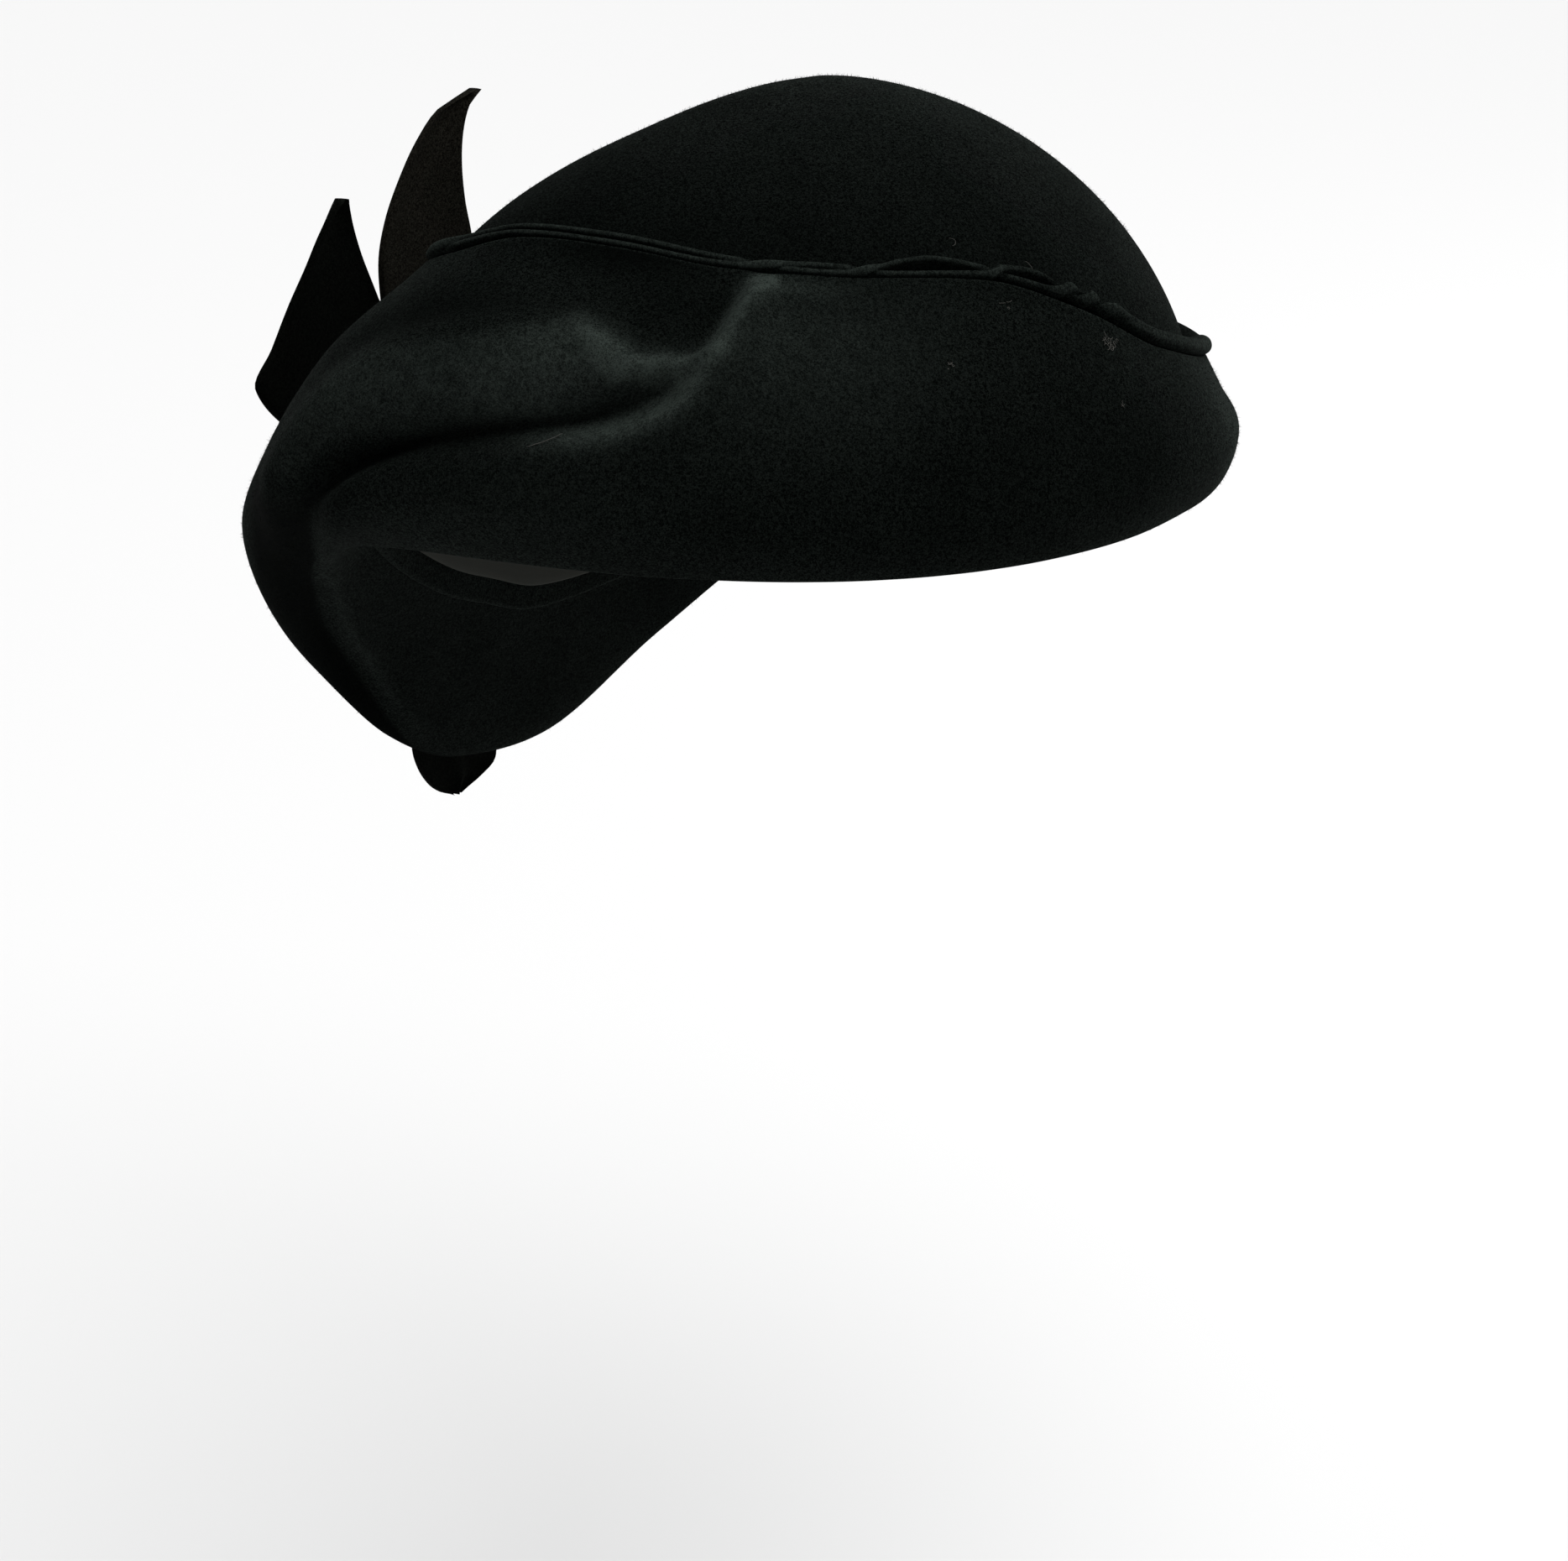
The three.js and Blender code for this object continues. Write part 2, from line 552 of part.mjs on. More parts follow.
// The places up the cuff where its mesh lines run: close together beside the fold.
function cuffLines(angle) {
  const turned = angle > BEHIND ? angle - 360 : angle;
  const first = FOLD[1];
  const last = FOLD[FOLD.length - 1];
  // where there is no fold, the lines go back gradually from its end to its start
  const back = THREE.MathUtils.euclideanModulo(turned - last.at, 360) / (360 - last.at + first.at);
  const inFold = turned >= first.at && turned <= last.at;
  const height = inFold
    ? along(FOLD, (row) => row.up, turned)
    : THREE.MathUtils.lerp(last.up, first.up, back);
  const length = plainCurve(cuffFrame(angle)).length;
  const lowest = -BESIDE_FOLD[0] / length + 0.03;
  const highest = 1 - BESIDE_FOLD[BESIDE_FOLD.length - 1] / length - 0.04;
  const guide = THREE.MathUtils.clamp(height, lowest, highest);
  const beside = BESIDE_FOLD.map((d) => guide + d / length);
  const lines = [];
  for (let i = 0; i < LINES_BELOW; i++) lines.push(beside[0] * (i / LINES_BELOW) ** 1.5);
  lines.push(...beside);
  const top = beside[beside.length - 1];
  for (let i = 1; i <= LINES_ABOVE; i++) lines.push(THREE.MathUtils.lerp(top, 1, i / LINES_ABOVE));
  return lines;
}

// The inner face's places behind a section of the cuff. The felt is thinner than FELT where it is
// folded so tight that its inner face would meet the layer across from it.
function behind(angle, lines, places) {
  const last = places.length - 1;
  const parts = 4;
  return places.map((place, j) => {
    const run = places[Math.min(last, j + 1)].clone().sub(places[Math.max(0, j - 1)]).normalize();
    const out = new THREE.Vector2(run.y, -run.x);
    const square = normalOf(cuffPoint, angle, lines[j], 1, 0.015, 0, 1);
    let thick = FELT / Math.max(LEAST_SQUARE, placed(angle, out).dot(square));
    for (let i = 0; i < last; i++) {
      const beside = i === j || i === j - 1;
      for (let k = 0; k <= parts && !beside; k++) {
        const away = place.clone().sub(places[i].clone().lerp(places[i + 1], k / parts));
        const facing = away.dot(out);
        if (facing > 0) thick = Math.min(thick, away.lengthSq() / (2 * facing) - FOLD_AIR / 2);
      }
    }
    return place.clone().addScaledVector(out, -Math.max(thick, FELT_LEAST));
  });
}

// The draped cuff: one wide band of felt, turned up in front, folded, and hanging at the side.
function makeCuff() {
  const outer = [];
  const inner = [];
  for (const angle of roundAngles("cuff")) {
    const lines = cuffLines(angle);
    const places = lines.map((up) => cuffFlat(angle, up));
    outer.push(places.map((place) => placed(angle, place)));
    inner.push(behind(angle, lines, places).map((place) => placed(angle, place)));
  }
  return ringWall("draped_cuff", outer, inner, FELT_LOOK);
}

// The twisted band: a roll of felt round the crown, over the top edge of the cuff.
function makeBand() {
  const sides = 12;
  const sections = [];
  for (const angle of roundAngles("cuff")) {
    const welt = sectionAt(angle).welt;
    const turned = THREE.MathUtils.euclideanModulo(angle, 360);
    const read = (name) => along(ROUND_BAND, (row) => row[name], turned);
    const high = BAND_HIGH * read("high");
    const deep = BAND_DEEP * read("deep");
    const open = Math.max(0, BAND_HOLLOW * read("open"));
    const foot = crownPoint(angle, welt);
    const above = crownPoint(angle, welt + 0.02);
    const out = normalOf(crownPoint, angle, welt, 1, 0.01, 0, 0.98);
    const up = above.sub(foot).normalize();
    const middle = foot.clone();
    middle.addScaledVector(up, high + BAND_AIR);
    middle.addScaledVector(out, deep + GAP);
    const ring = [];
    for (let k = 0; k < sides; k++) {
      const turn = (2 * Math.PI * k) / sides;
      // the opening faces outward, so the roll is pressed in there
      const pressed = open * bump(Math.sin(turn / 2) / HOLLOW_WIDE);
      const point = middle.clone();
      point.addScaledVector(out, deep * Math.cos(turn) - pressed);
      point.addScaledVector(up, high * Math.sin(turn));
      ring.push(point);
    }
    sections.push(ring);
  }
  const rows = sections.length;
  const triangles = [];
  for (let i = 0; i < rows; i++) {
    for (let k = 0; k < sides; k++) {
      const id = (a, b) => (a % rows) * sides + (b % sides);
      triangles.push([id(i, k), id(i, k + 1), id(i + 1, k + 1)]);
      triangles.push([id(i, k), id(i + 1, k + 1), id(i + 1, k)]);
    }
  }
  return meshOf("twisted_band", sections.flat(), triangles, FELT_LOOK);
}

// The ribbon sewn inside the head opening.
function makeRibbon() {
  const outer = [];
  const inner = [];
  for (const angle of roundAngles("crown")) {
    const edge = sectionAt(angle).edge;
    const measured = 0.25;
    const rise = crownPoint(angle, measured).z - edge.y;
    const share = (measured * RIBBON_WIDE) / rise;
    const lines = [RIBBON_FROM, RIBBON_FROM + share / 2, RIBBON_FROM + share];
    const face = (depth) => (up) => {
      const out = normalOf(crownPoint, angle, up, 1, 0.01, 0, 0.98);
      return crownPoint(angle, up).addScaledVector(out, -depth);
    };
    outer.push(lines.map(face(FELT + RIBBON_AIR)));
    inner.push(lines.map(face(FELT + RIBBON_AIR + RIBBON_THICK)));
  }
  return ringWall("headband", outer, inner, RIBBON_LOOK);
}

// A leaf: a pointed blade of felt that lies on the outside of the cuff and stands free of it.
function makeLeaf(name, rows, layer) {
  const across = 4;
  const root = rows[0].up;
  const tip = rows[rows.length - 1].up;
  const faces = [[], []];
  rows.forEach((row) => {
    const away = (row.up - root) / (tip - root);
    for (let k = 0; k <= across; k++) {
      const share = k / across;
      const angle = THREE.MathUtils.lerp(row.near, row.far, share);
      const cup = LEAF_CUP * away ** 2 * (1 - (2 * share - 1) ** 2);
      const stacked = layer * (LEAF_THICK + LEAF_AIR);
      const reach = cuffReach(angle) + GAP + stacked + cup + LEAF_FLARE * away ** 2;
      faces[0].push(placed(angle, new THREE.Vector2(reach + LEAF_THICK, RISE * row.up)));
      faces[1].push(placed(angle, new THREE.Vector2(reach, RISE * row.up)));
    }
  });
  const wide = across + 1;
  const half = faces[0].length;
  const id = (side, i, k) => side * half + i * wide + k;
  const triangles = [];
  const quad = (a, b, c, d) => triangles.push([a, b, c], [a, c, d]);
  const last = rows.length - 1;
  for (let i = 0; i < last; i++) {
    for (let k = 0; k < across; k++) {
      quad(id(0, i, k), id(0, i + 1, k), id(0, i + 1, k + 1), id(0, i, k + 1));
      quad(id(1, i, k), id(1, i, k + 1), id(1, i + 1, k + 1), id(1, i + 1, k));
    }
    quad(id(0, i, 0), id(1, i, 0), id(1, i + 1, 0), id(0, i + 1, 0));
    quad(id(0, i, across), id(0, i + 1, across), id(1, i + 1, across), id(1, i, across));
  }
  for (let k = 0; k < across; k++) {
    quad(id(0, 0, k), id(0, 0, k + 1), id(1, 0, k + 1), id(1, 0, k));
    quad(id(0, last, k), id(1, last, k), id(1, last, k + 1), id(0, last, k + 1));
  }
  // a leaf that points down has its rows in the other order, so its faces are turned round
  const turned = tip > root ? triangles : triangles.map(([a, b, c]) => [a, c, b]);
  return meshOf(name, faces.flat(), turned, FELT_LOOK);
}

const hat = new THREE.Group();
hat.add(makeCrown());
hat.add(makeCuff());
hat.add(makeBand());
hat.add(makeRibbon());
hat.add(makeLeaf("leaf_low", LOW_LEAF, 0));
hat.add(makeLeaf("leaf_tall", TALL_LEAF, 1));
hat.add(makeLeaf("leaf_short", SHORT_LEAF, 2));

export default hat;
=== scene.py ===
import math

import bpy
import numpy as np
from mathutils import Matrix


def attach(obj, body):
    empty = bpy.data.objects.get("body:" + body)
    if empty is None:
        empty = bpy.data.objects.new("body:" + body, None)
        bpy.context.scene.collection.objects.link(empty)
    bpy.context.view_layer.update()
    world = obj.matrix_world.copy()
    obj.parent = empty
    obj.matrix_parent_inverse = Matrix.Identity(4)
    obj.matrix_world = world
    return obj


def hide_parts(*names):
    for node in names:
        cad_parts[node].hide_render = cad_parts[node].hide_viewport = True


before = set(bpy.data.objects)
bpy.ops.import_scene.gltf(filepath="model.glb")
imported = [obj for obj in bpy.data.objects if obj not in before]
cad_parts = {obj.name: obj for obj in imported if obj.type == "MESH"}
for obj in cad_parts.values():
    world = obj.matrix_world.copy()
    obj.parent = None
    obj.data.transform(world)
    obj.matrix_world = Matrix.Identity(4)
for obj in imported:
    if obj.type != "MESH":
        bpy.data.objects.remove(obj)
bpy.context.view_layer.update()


# View, floor and light
# The hat is held up as it is on a head, seen a little from above and straight from the front.
# Under it is a pale floor. The light is soft and white all round, and stronger from above.
PICTURE_WIDE = 1868
FOCAL_PIXELS = 4000
LOOKING_DOWN = 23
CAMERA_AT = (-0.0082, -0.6802, 0.2121)
FLOOR_LEVEL = -0.3
FLOOR_HALF = 4
FLOOR_PALE = (0.72, 0.72, 0.72, 1)
SKY_STRENGTH = 0.5
ABOVE_STRENGTH = 2.8
ABOVE_SPREAD = 70
RIGHT_AT = (1.3, 0.5, 0.4)
RIGHT_POWER = 6

camera = bpy.data.objects.new("camera", bpy.data.cameras.new("camera"))
bpy.context.scene.collection.objects.link(camera)
camera.location = CAMERA_AT
camera.rotation_euler = (math.radians(90 - LOOKING_DOWN), 0, 0)
camera.data.sensor_fit = "HORIZONTAL"
camera.data.sensor_width = 36
camera.data.lens = camera.data.sensor_width * FOCAL_PIXELS / PICTURE_WIDE
bpy.context.scene.camera = camera
bpy.context.scene.view_settings.view_transform = "Standard"

floor_mesh = bpy.data.meshes.new("floor")
sides = ((-1, -1), (1, -1), (1, 1), (-1, 1))
corners = [(x * FLOOR_HALF, y * FLOOR_HALF, FLOOR_LEVEL) for x, y in sides]
floor_mesh.from_pydata(corners, [], [(0, 1, 2, 3)])
floor = bpy.data.objects.new("floor", floor_mesh)
bpy.context.scene.collection.objects.link(floor)
pale = bpy.data.materials.new("pale_floor")
pale.use_nodes = True
pale.node_tree.nodes["Principled BSDF"].inputs["Base Color"].default_value = FLOOR_PALE
pale.node_tree.nodes["Principled BSDF"].inputs["Roughness"].default_value = 0.9
floor_mesh.materials.append(pale)

world = bpy.data.worlds.new("white_tent")
world.use_nodes = True
world.node_tree.nodes["Background"].inputs["Color"].default_value = (1, 1, 1, 1)
world.node_tree.nodes["Background"].inputs["Strength"].default_value = SKY_STRENGTH
bpy.context.scene.world = world

above = bpy.data.lights.new("light_above", "SUN")
above.energy = ABOVE_STRENGTH
above.angle = math.radians(ABOVE_SPREAD)
above_object = bpy.data.objects.new("light_above", above)
above_object.rotation_euler = (math.radians(4), math.radians(26), 0)
bpy.context.scene.collection.objects.link(above_object)

right = bpy.data.lights.new("light_right", "AREA")
right.shape = "SQUARE"
right.size = 1.0
right.energy = RIGHT_POWER
right_object = bpy.data.objects.new("light_right", right)
right_object.location = RIGHT_AT
right_object.rotation_euler = (0, math.radians(75), math.radians(20))
bpy.context.scene.collection.objects.link(right_object)


# Crown
# A dome of black fur felt, blocked over a wooden form, a little pointed and lower at one side.
# One long shallow dent runs over its left side. Its open edge is where the head goes in.
REACH = 0.100
RISE = 0.080
FELT = 0.0025
GAP = 0.0003
PEAK_BACK = 0.1
PEAK_UP = 0.94
CROWN_ROUND = 240
CROWN_RINGS = 84
# FELT_TIPS is the pale end of the felt's colour, brought out by painted sheen, painted highlight
# and rubbed nap
FELT_DARK = (0.0003, 0.0005, 0.0004)
FELT_TIPS = (0.027, 0.034, 0.03)
NAP_DEEP = 0.0005

# At is in degrees from the front, over the hanging side. Then come the head opening, and the
# lowest and the widest line of the cuff, each as shares of REACH outward and of RISE upward; the
# cuff's fullness, the height of its top edge on the crown, and the crown's swell.
AT, EDGE_OUT, EDGE_UP, FOLD_OUT, FOLD_UP, CREST_OUT, CREST_UP, FULL, WELT, SWELL = range(10)
SECTIONS = np.array([
    (0, 0.82, 0.05, 0.85, 0, 0.9, 0.16, 0.05, 0.455, 1.08),
    (20, 0.84, 0.04, 0.88, 0, 0.95, 0.18, 0.07, 0.47, 1.08),
    (40, 0.9, 0.04, 0.96, 0, 1.06, 0.2, 0.08, 0.485, 1),
    (55, 0.97, 0.02, 1.05, -0.02, 1.15, 0.15, 0.08, 0.475, 0.93),
    (65, 0.99, -0.04, 1.09, -0.09, 1.2, 0.08, 0.07, 0.425, 0.89),
    (76, 0.96, -0.17, 1.11, -0.27, 1.2, -0.02, 0.05, 0.4, 0.86),
    (86, 0.89, -0.32, 1.12, -0.5, 1.22, -0.18, 0.02, 0.39, 0.85),
    (96, 0.83, -0.44, 1.09, -0.72, 1.16, -0.38, 0.02, 0.385, 0.86),
    (106, 0.79, -0.52, 1.02, -0.97, 1.07, -0.55, 0.04, 0.38, 0.88),
    (118, 0.76, -0.6, 0.96, -1.12, 1.03, -0.7, 0.08, 0.375, 0.9),
    (135, 0.76, -0.62, 0.9, -1.12, 1.01, -0.7, 0.08, 0.36, 0.94),
    (155, 0.82, -0.6, 0.91, -0.9, 1.01, -0.55, 0.07, 0.33, 1),
    (180, 0.9, -0.5, 0.95, -0.58, 1.03, -0.32, 0.05, 0.29, 1),
    (210, 0.9, -0.3, 0.94, -0.36, 1, -0.15, 0.04, 0.23, 1.02),
    (240, 0.85, -0.11, 0.88, -0.16, 0.92, -0.02, 0.02, 0.18, 1.04),
    (270, 0.79, 0.02, 0.84, -0.04, 0.87, 0.08, 0, 0.155, 1.03),
    (300, 0.79, 0.05, 0.84, 0, 0.88, 0.12, 0.02, 0.245, 1.02),
    (315, 0.8, 0.05, 0.84, 0, 0.88, 0.14, 0.03, 0.345, 1.02),
    (330, 0.8, 0.06, 0.84, 0, 0.88, 0.15, 0.04, 0.42, 1.05),
])
# at, share of the way up, width in degrees, width as a share, depth
DENTS = [(80, 0.7, 50, 0.24, 0.003), (62, 0.82, 30, 0.1, 0.0012)]


def through(ats, values, at):
    """A smooth curve through a table's column, with equal slopes on both sides of a row."""
    slope = np.zeros(len(ats))
    slope[1:-1] = (values[2:] - values[:-2]) / (ats[2:] - ats[:-2])
    i = np.clip(np.searchsorted(ats, at, "right") - 1, 0, len(ats) - 2)
    step = ats[i + 1] - ats[i]
    t = (at - ats[i]) / step
    return (
        (2 * t**3 - 3 * t**2 + 1) * values[i]
        + (t**3 - 2 * t**2 + t) * step * slope[i]
        + (3 * t**2 - 2 * t**3) * values[i + 1]
        + (t**3 - t**2) * step * slope[i + 1]
    )


def along(rows, column, at):
    """A column of a table that ends at its first and last rows."""
    return through(rows[:, AT], rows[:, column], np.clip(at, rows[0, AT], rows[-1, AT]))


def round_head(rows, column, at):
    """A column of a table that goes all round the head."""
    ats = np.concatenate([rows[:, AT] - 360, rows[:, AT], rows[:, AT] + 360])
    return through(ats, np.tile(rows[:, column], 3), np.mod(at, 360))


def bump(x):
    return np.exp(-x * x)


def outward(angle):
    turn = np.radians(angle)
    return np.stack([-np.sin(turn), -np.cos(turn), np.zeros_like(turn)], -1)


def placed(angle, out, up):
    """Points from their angle, their distance out and their height."""
    return outward(angle) * out[..., None] + np.stack([0 * up, 0 * up, up], -1)


def unit(v):
    return v / np.maximum(np.linalg.norm(v, axis=-1, keepdims=True), 1e-12)


def crown_point(angle, up):
    """The outer face of the crown; up is 0 at the head opening and 1 at the peak."""
    angle, up = np.broadcast_arrays(np.asarray(angle, float), np.asarray(up, float))
    edge_up = RISE * round_head(SECTIONS, EDGE_UP, angle)
    swell = round_head(SECTIONS, SWELL, angle)
    turn = np.clip(up, 0, 1) * math.pi / 2
    level = np.where(up >= 1, 0, np.abs(np.cos(turn)) ** swell)
    lift = np.sin(turn) ** swell
    height = edge_up + (RISE * PEAK_UP - edge_up) * lift
    for at, share, wide, tall, deep in DENTS:
        beside = np.mod(angle - at + 180, 360) - 180
        near = bump(beside / wide) * bump((up - share) / tall)
        height = height - deep * near * (1 - np.clip(up, 0, 1) ** 8)
    point = placed(angle, REACH * round_head(SECTIONS, EDGE_OUT, angle) * level, height)
    point[..., 1] += REACH * PEAK_BACK * (1 - level)
    return point


def square_to_crown(angle, up, turn=1, rise=0.01, highest=0.98):
    """The unit direction square to the crown's outer face, outward."""
    higher, lower = np.minimum(highest, up + rise), np.maximum(0, np.asarray(up, float) - rise)
    sideways = crown_point(angle + turn, up) - crown_point(angle - turn, up)
    return unit(np.cross(crown_point(angle, higher) - crown_point(angle, lower), sideways))


def mesh_object(name, points, faces, wear_and_painted_light=None):
    """A smooth-shaded object from points and faces."""
    mesh = bpy.data.meshes.new(name)
    mesh.from_pydata(points.tolist(), [], faces)
    mesh.polygons.foreach_set("use_smooth", [True] * len(mesh.polygons))
    if wear_and_painted_light is not None:
        mesh.attributes.new("nap_wear_and_painted_light", "FLOAT", "POINT").data.foreach_set("value", wear_and_painted_light.ravel())
    mesh.validate()
    made = bpy.data.objects.new(name, mesh)
    bpy.context.scene.collection.objects.link(made)
    return made


def ring_faces(rows, wide, closed_across=True):
    """Faces of a grid of points, row by row round the hat, and also closed across the rows."""
    across = wide if closed_across else wide - 1
    i, j = np.meshgrid(np.arange(rows), np.arange(across), indexing="ij")
    here, after, beside = i * wide, (i + 1) % rows * wide, (j + 1) % wide
    faces = np.stack([here + j, here + beside, after + beside, after + j], -1)
    return faces.reshape(-1, 4).tolist()


def round_rim(outer, inner, beyond, steps=5):
    """Points of a rounded edge from an outer line to an inner one, bulging to beyond."""
    middle, half = (outer + inner) / 2, (outer - inner) / 2
    reach = np.linalg.norm(half, axis=-1, keepdims=True)
    turns = np.linspace(0, math.pi, steps + 2)[1:-1]
    return np.stack([middle + half * math.cos(t) + beyond * reach * math.sin(t) for t in turns], 1)


def black_felt(name, dark, tips, sheen_face_on, sheen_edge_on, nap):
    """Brushed black fur felt: a short curly nap with pale tips. Its colour is painted paler where
    the felt is seen edge on, a painted sheen, and follows a per-point attribute of rubbed nap with
    painted highlight and painted shade."""
    felt = bpy.data.materials.new(name)
    felt.use_nodes = True
    nodes, links = felt.node_tree.nodes, felt.node_tree.links
    shader = nodes["Principled BSDF"]
    place = nodes.new("ShaderNodeMapping")
    place.inputs["Rotation"].default_value = (0.6, 0.4, 0.9)
    links.new(nodes.new("ShaderNodeTexCoord").outputs["Object"], place.inputs["Vector"])

    def noise(scale, detail, rough, swirl=0.0):
        made = nodes.new("ShaderNodeTexNoise")
        made.inputs["Scale"].default_value = scale
        made.inputs["Detail"].default_value = detail
        made.inputs["Roughness"].default_value = rough
        made.inputs["Distortion"].default_value = swirl
        links.new(place.outputs["Vector"], made.inputs["Vector"])
        return made.outputs["Fac"]

    def spread(value, low, high, to_low=0.0, to_high=1.0):
        made = nodes.new("ShaderNodeMapRange")
        made.inputs["From Min"].default_value = low
        made.inputs["From Max"].default_value = high
        made.inputs["To Min"].default_value = to_low
        made.inputs["To Max"].default_value = to_high
        links.new(value, made.inputs["Value"])
        return made.outputs["Result"]

    def maths(kind, a, b):
        made = nodes.new("ShaderNodeMath")
        made.operation = kind
        for socket, value in zip(made.inputs, (a, b)):
            if isinstance(value, float):
                socket.default_value = value
            else:
                links.new(value, socket)
        return made.outputs["Value"]

    curls = noise(1900, 3, 0.62, 0.8)
    fine = noise(4000, 2, 0.55)
    tufts = noise(380, 4, 0.68)
    patches = noise(60, 4, 0.6)
    speckle = maths("ADD", maths("MULTIPLY", curls, 0.55), maths("MULTIPLY", fine, 0.45))
    # painted sheen: the felt's colour is made paler the more edge on it is seen
    painted_sheen_facing = nodes.new("ShaderNodeLayerWeight")
    painted_sheen_facing.inputs["Blend"].default_value = 0.5
    painted_sheen_turn = maths("POWER", painted_sheen_facing.outputs["Facing"], 2.2)
    painted_sheen_and_shade = maths("MULTIPLY", spread(speckle, 0.43, 0.61), spread(patches, 0.3, 0.7, 0.8, 1.2))
    painted_sheen_and_shade = maths("MULTIPLY", painted_sheen_and_shade, spread(painted_sheen_turn, 0.0, 1.0, sheen_face_on, sheen_edge_on))
    # the attribute is -1 where painted shade darkens the felt, 0 where it is plain, and 1 where
    # rubbed nap and painted highlight make it pale
    rubbed_and_painted_light = nodes.new("ShaderNodeAttribute")
    rubbed_and_painted_light.attribute_name = "nap_wear_and_painted_light"
    painted_sheen_and_shade = maths("MULTIPLY", painted_sheen_and_shade, spread(rubbed_and_painted_light.outputs["Fac"], -1.0, 0.0))
    wear_and_painted_light = spread(rubbed_and_painted_light.outputs["Fac"], 0.0, 1.0)
    wear_and_painted_light = maths("MULTIPLY", wear_and_painted_light, spread(tufts, 0.36, 0.6, 0.6, 1.1))
    wear_and_painted_light = maths("MULTIPLY", wear_and_painted_light, spread(speckle, 0.39, 0.61, 0.4, 1.15))
    colour = nodes.new("ShaderNodeValToRGB")
    colour.color_ramp.elements[0].color = (*dark, 1)
    colour.color_ramp.elements[1].color = (*tips, 1)
    links.new(maths("ADD", painted_sheen_and_shade, wear_and_painted_light), colour.inputs["Fac"])
    links.new(colour.outputs["Color"], shader.inputs["Base Color"])
    raised = nodes.new("ShaderNodeBump")
    raised.inputs["Strength"].default_value = nap
    raised.inputs["Distance"].default_value = NAP_DEEP
    links.new(speckle, raised.inputs["Height"])
    links.new(raised.outputs["Normal"], shader.inputs["Normal"])
    shader.inputs["Roughness"].default_value = 0.95
    shader.inputs["Specular IOR Level"].default_value = 0.006
    shader.inputs["Sheen Weight"].default_value = 0.0025
    shader.inputs["Sheen Roughness"].default_value = 0.5
    shader.inputs["Sheen Tint"].default_value = (0.85, 1, 0.93, 1)
    return felt


felt = black_felt("black_felt", FELT_DARK, FELT_TIPS, sheen_face_on=0.2, sheen_edge_on=0.72, nap=0.5)
crown_angles = np.linspace(0, 360, CROWN_ROUND, endpoint=False)
crown_ups = (np.arange(CROWN_RINGS) / CROWN_RINGS) ** 0.9
angle, up = np.meshgrid(crown_angles, crown_ups, indexing="ij")
crown_outer = crown_point(angle, up)
crown_inner = crown_outer - FELT * square_to_crown(angle, up)
below = unit(crown_outer[:, 0] - crown_outer[:, 1])
rim = round_rim(crown_inner[:, 0], crown_outer[:, 0], below)
peak = crown_point(0.0, 1.0)
shell = np.concatenate([crown_inner[:, ::-1], rim, crown_outer], 1)
wide = shell.shape[1]
points = np.concatenate([shell.reshape(-1, 3), [peak - (0, 0, FELT), peak]])
faces = ring_faces(CROWN_ROUND, wide, closed_across=False)
inner_peak, outer_peak = len(points) - 2, len(points) - 1
for i in range(CROWN_ROUND):
    after = (i + 1) % CROWN_ROUND
    faces.append((inner_peak, i * wide, after * wide))
    faces.append((outer_peak, after * wide + wide - 1, i * wide + wide - 1))
# painted shade: the crown's colour is made darker low down, most of all on the left
rubbed_and_painted_light = np.zeros(len(points))
low_down = -0.28 * (1 - bump((crown_ups - 1) / 0.4))
left = -0.22 * bump((crown_angles[:, None] - 55) / 35) * bump((crown_ups - 0.55) / 0.3)
rubbed_and_painted_light[:-2].reshape(CROWN_ROUND, wide)[:, -CROWN_RINGS:] = low_down + left
crown = mesh_object("crown_felt", points, faces, rubbed_and_painted_light)
crown.data.materials.append(felt)
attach(crown, "root")
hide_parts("crown")


# Draped cuff
# One wide band of the same felt, sewn round the head opening and turned up in front. A long fold
# runs down from the band and round the left side, where the felt laps over itself and hangs.
WELT_AIR = 0.0012
FOLD_DEEP = 0.009
VALLEY_BELOW = 0.007
VALLEY_ABOVE = 0.0045
RIDGE_HIGH = 0.005
RIDGE_BELOW = 0.006
RIDGE_BELOW_WIDE = 0.007
RIDGE_ABOVE = 0.011
RIDGE_ABOVE_WIDE = 0.008
CREASE_HIGH = 0.003
CREASE_WIDE = 0.0026
CREASE_FOOT = 0.009
CREASE_FOOT_WIDE = 0.006
CREASE_FOOT_DEEP = 0.5
EDGE_FADE = 0.05
WELT_FADE = 0.04
BEHIND = 240
CUFF_LINES = 150
LAP_OVER = 0.006
LAP_AT = 0.005
LAP_WIDE = 0.004
RIDGE_WEAR_AND_HIGHLIGHT_BELOW = 0.004
RIDGE_WEAR_AND_HIGHLIGHT_WIDE = 0.0033
UPPER_WEAR_AND_HIGHLIGHT_WIDE = 0.007
PAINTED_SHADE_BELOW = 0.001
PAINTED_SHADE_WIDE = 0.0045
LINE_FADE = 0.002
SHEET_WIDE = 0.03
SHEET_FADE = 0.008

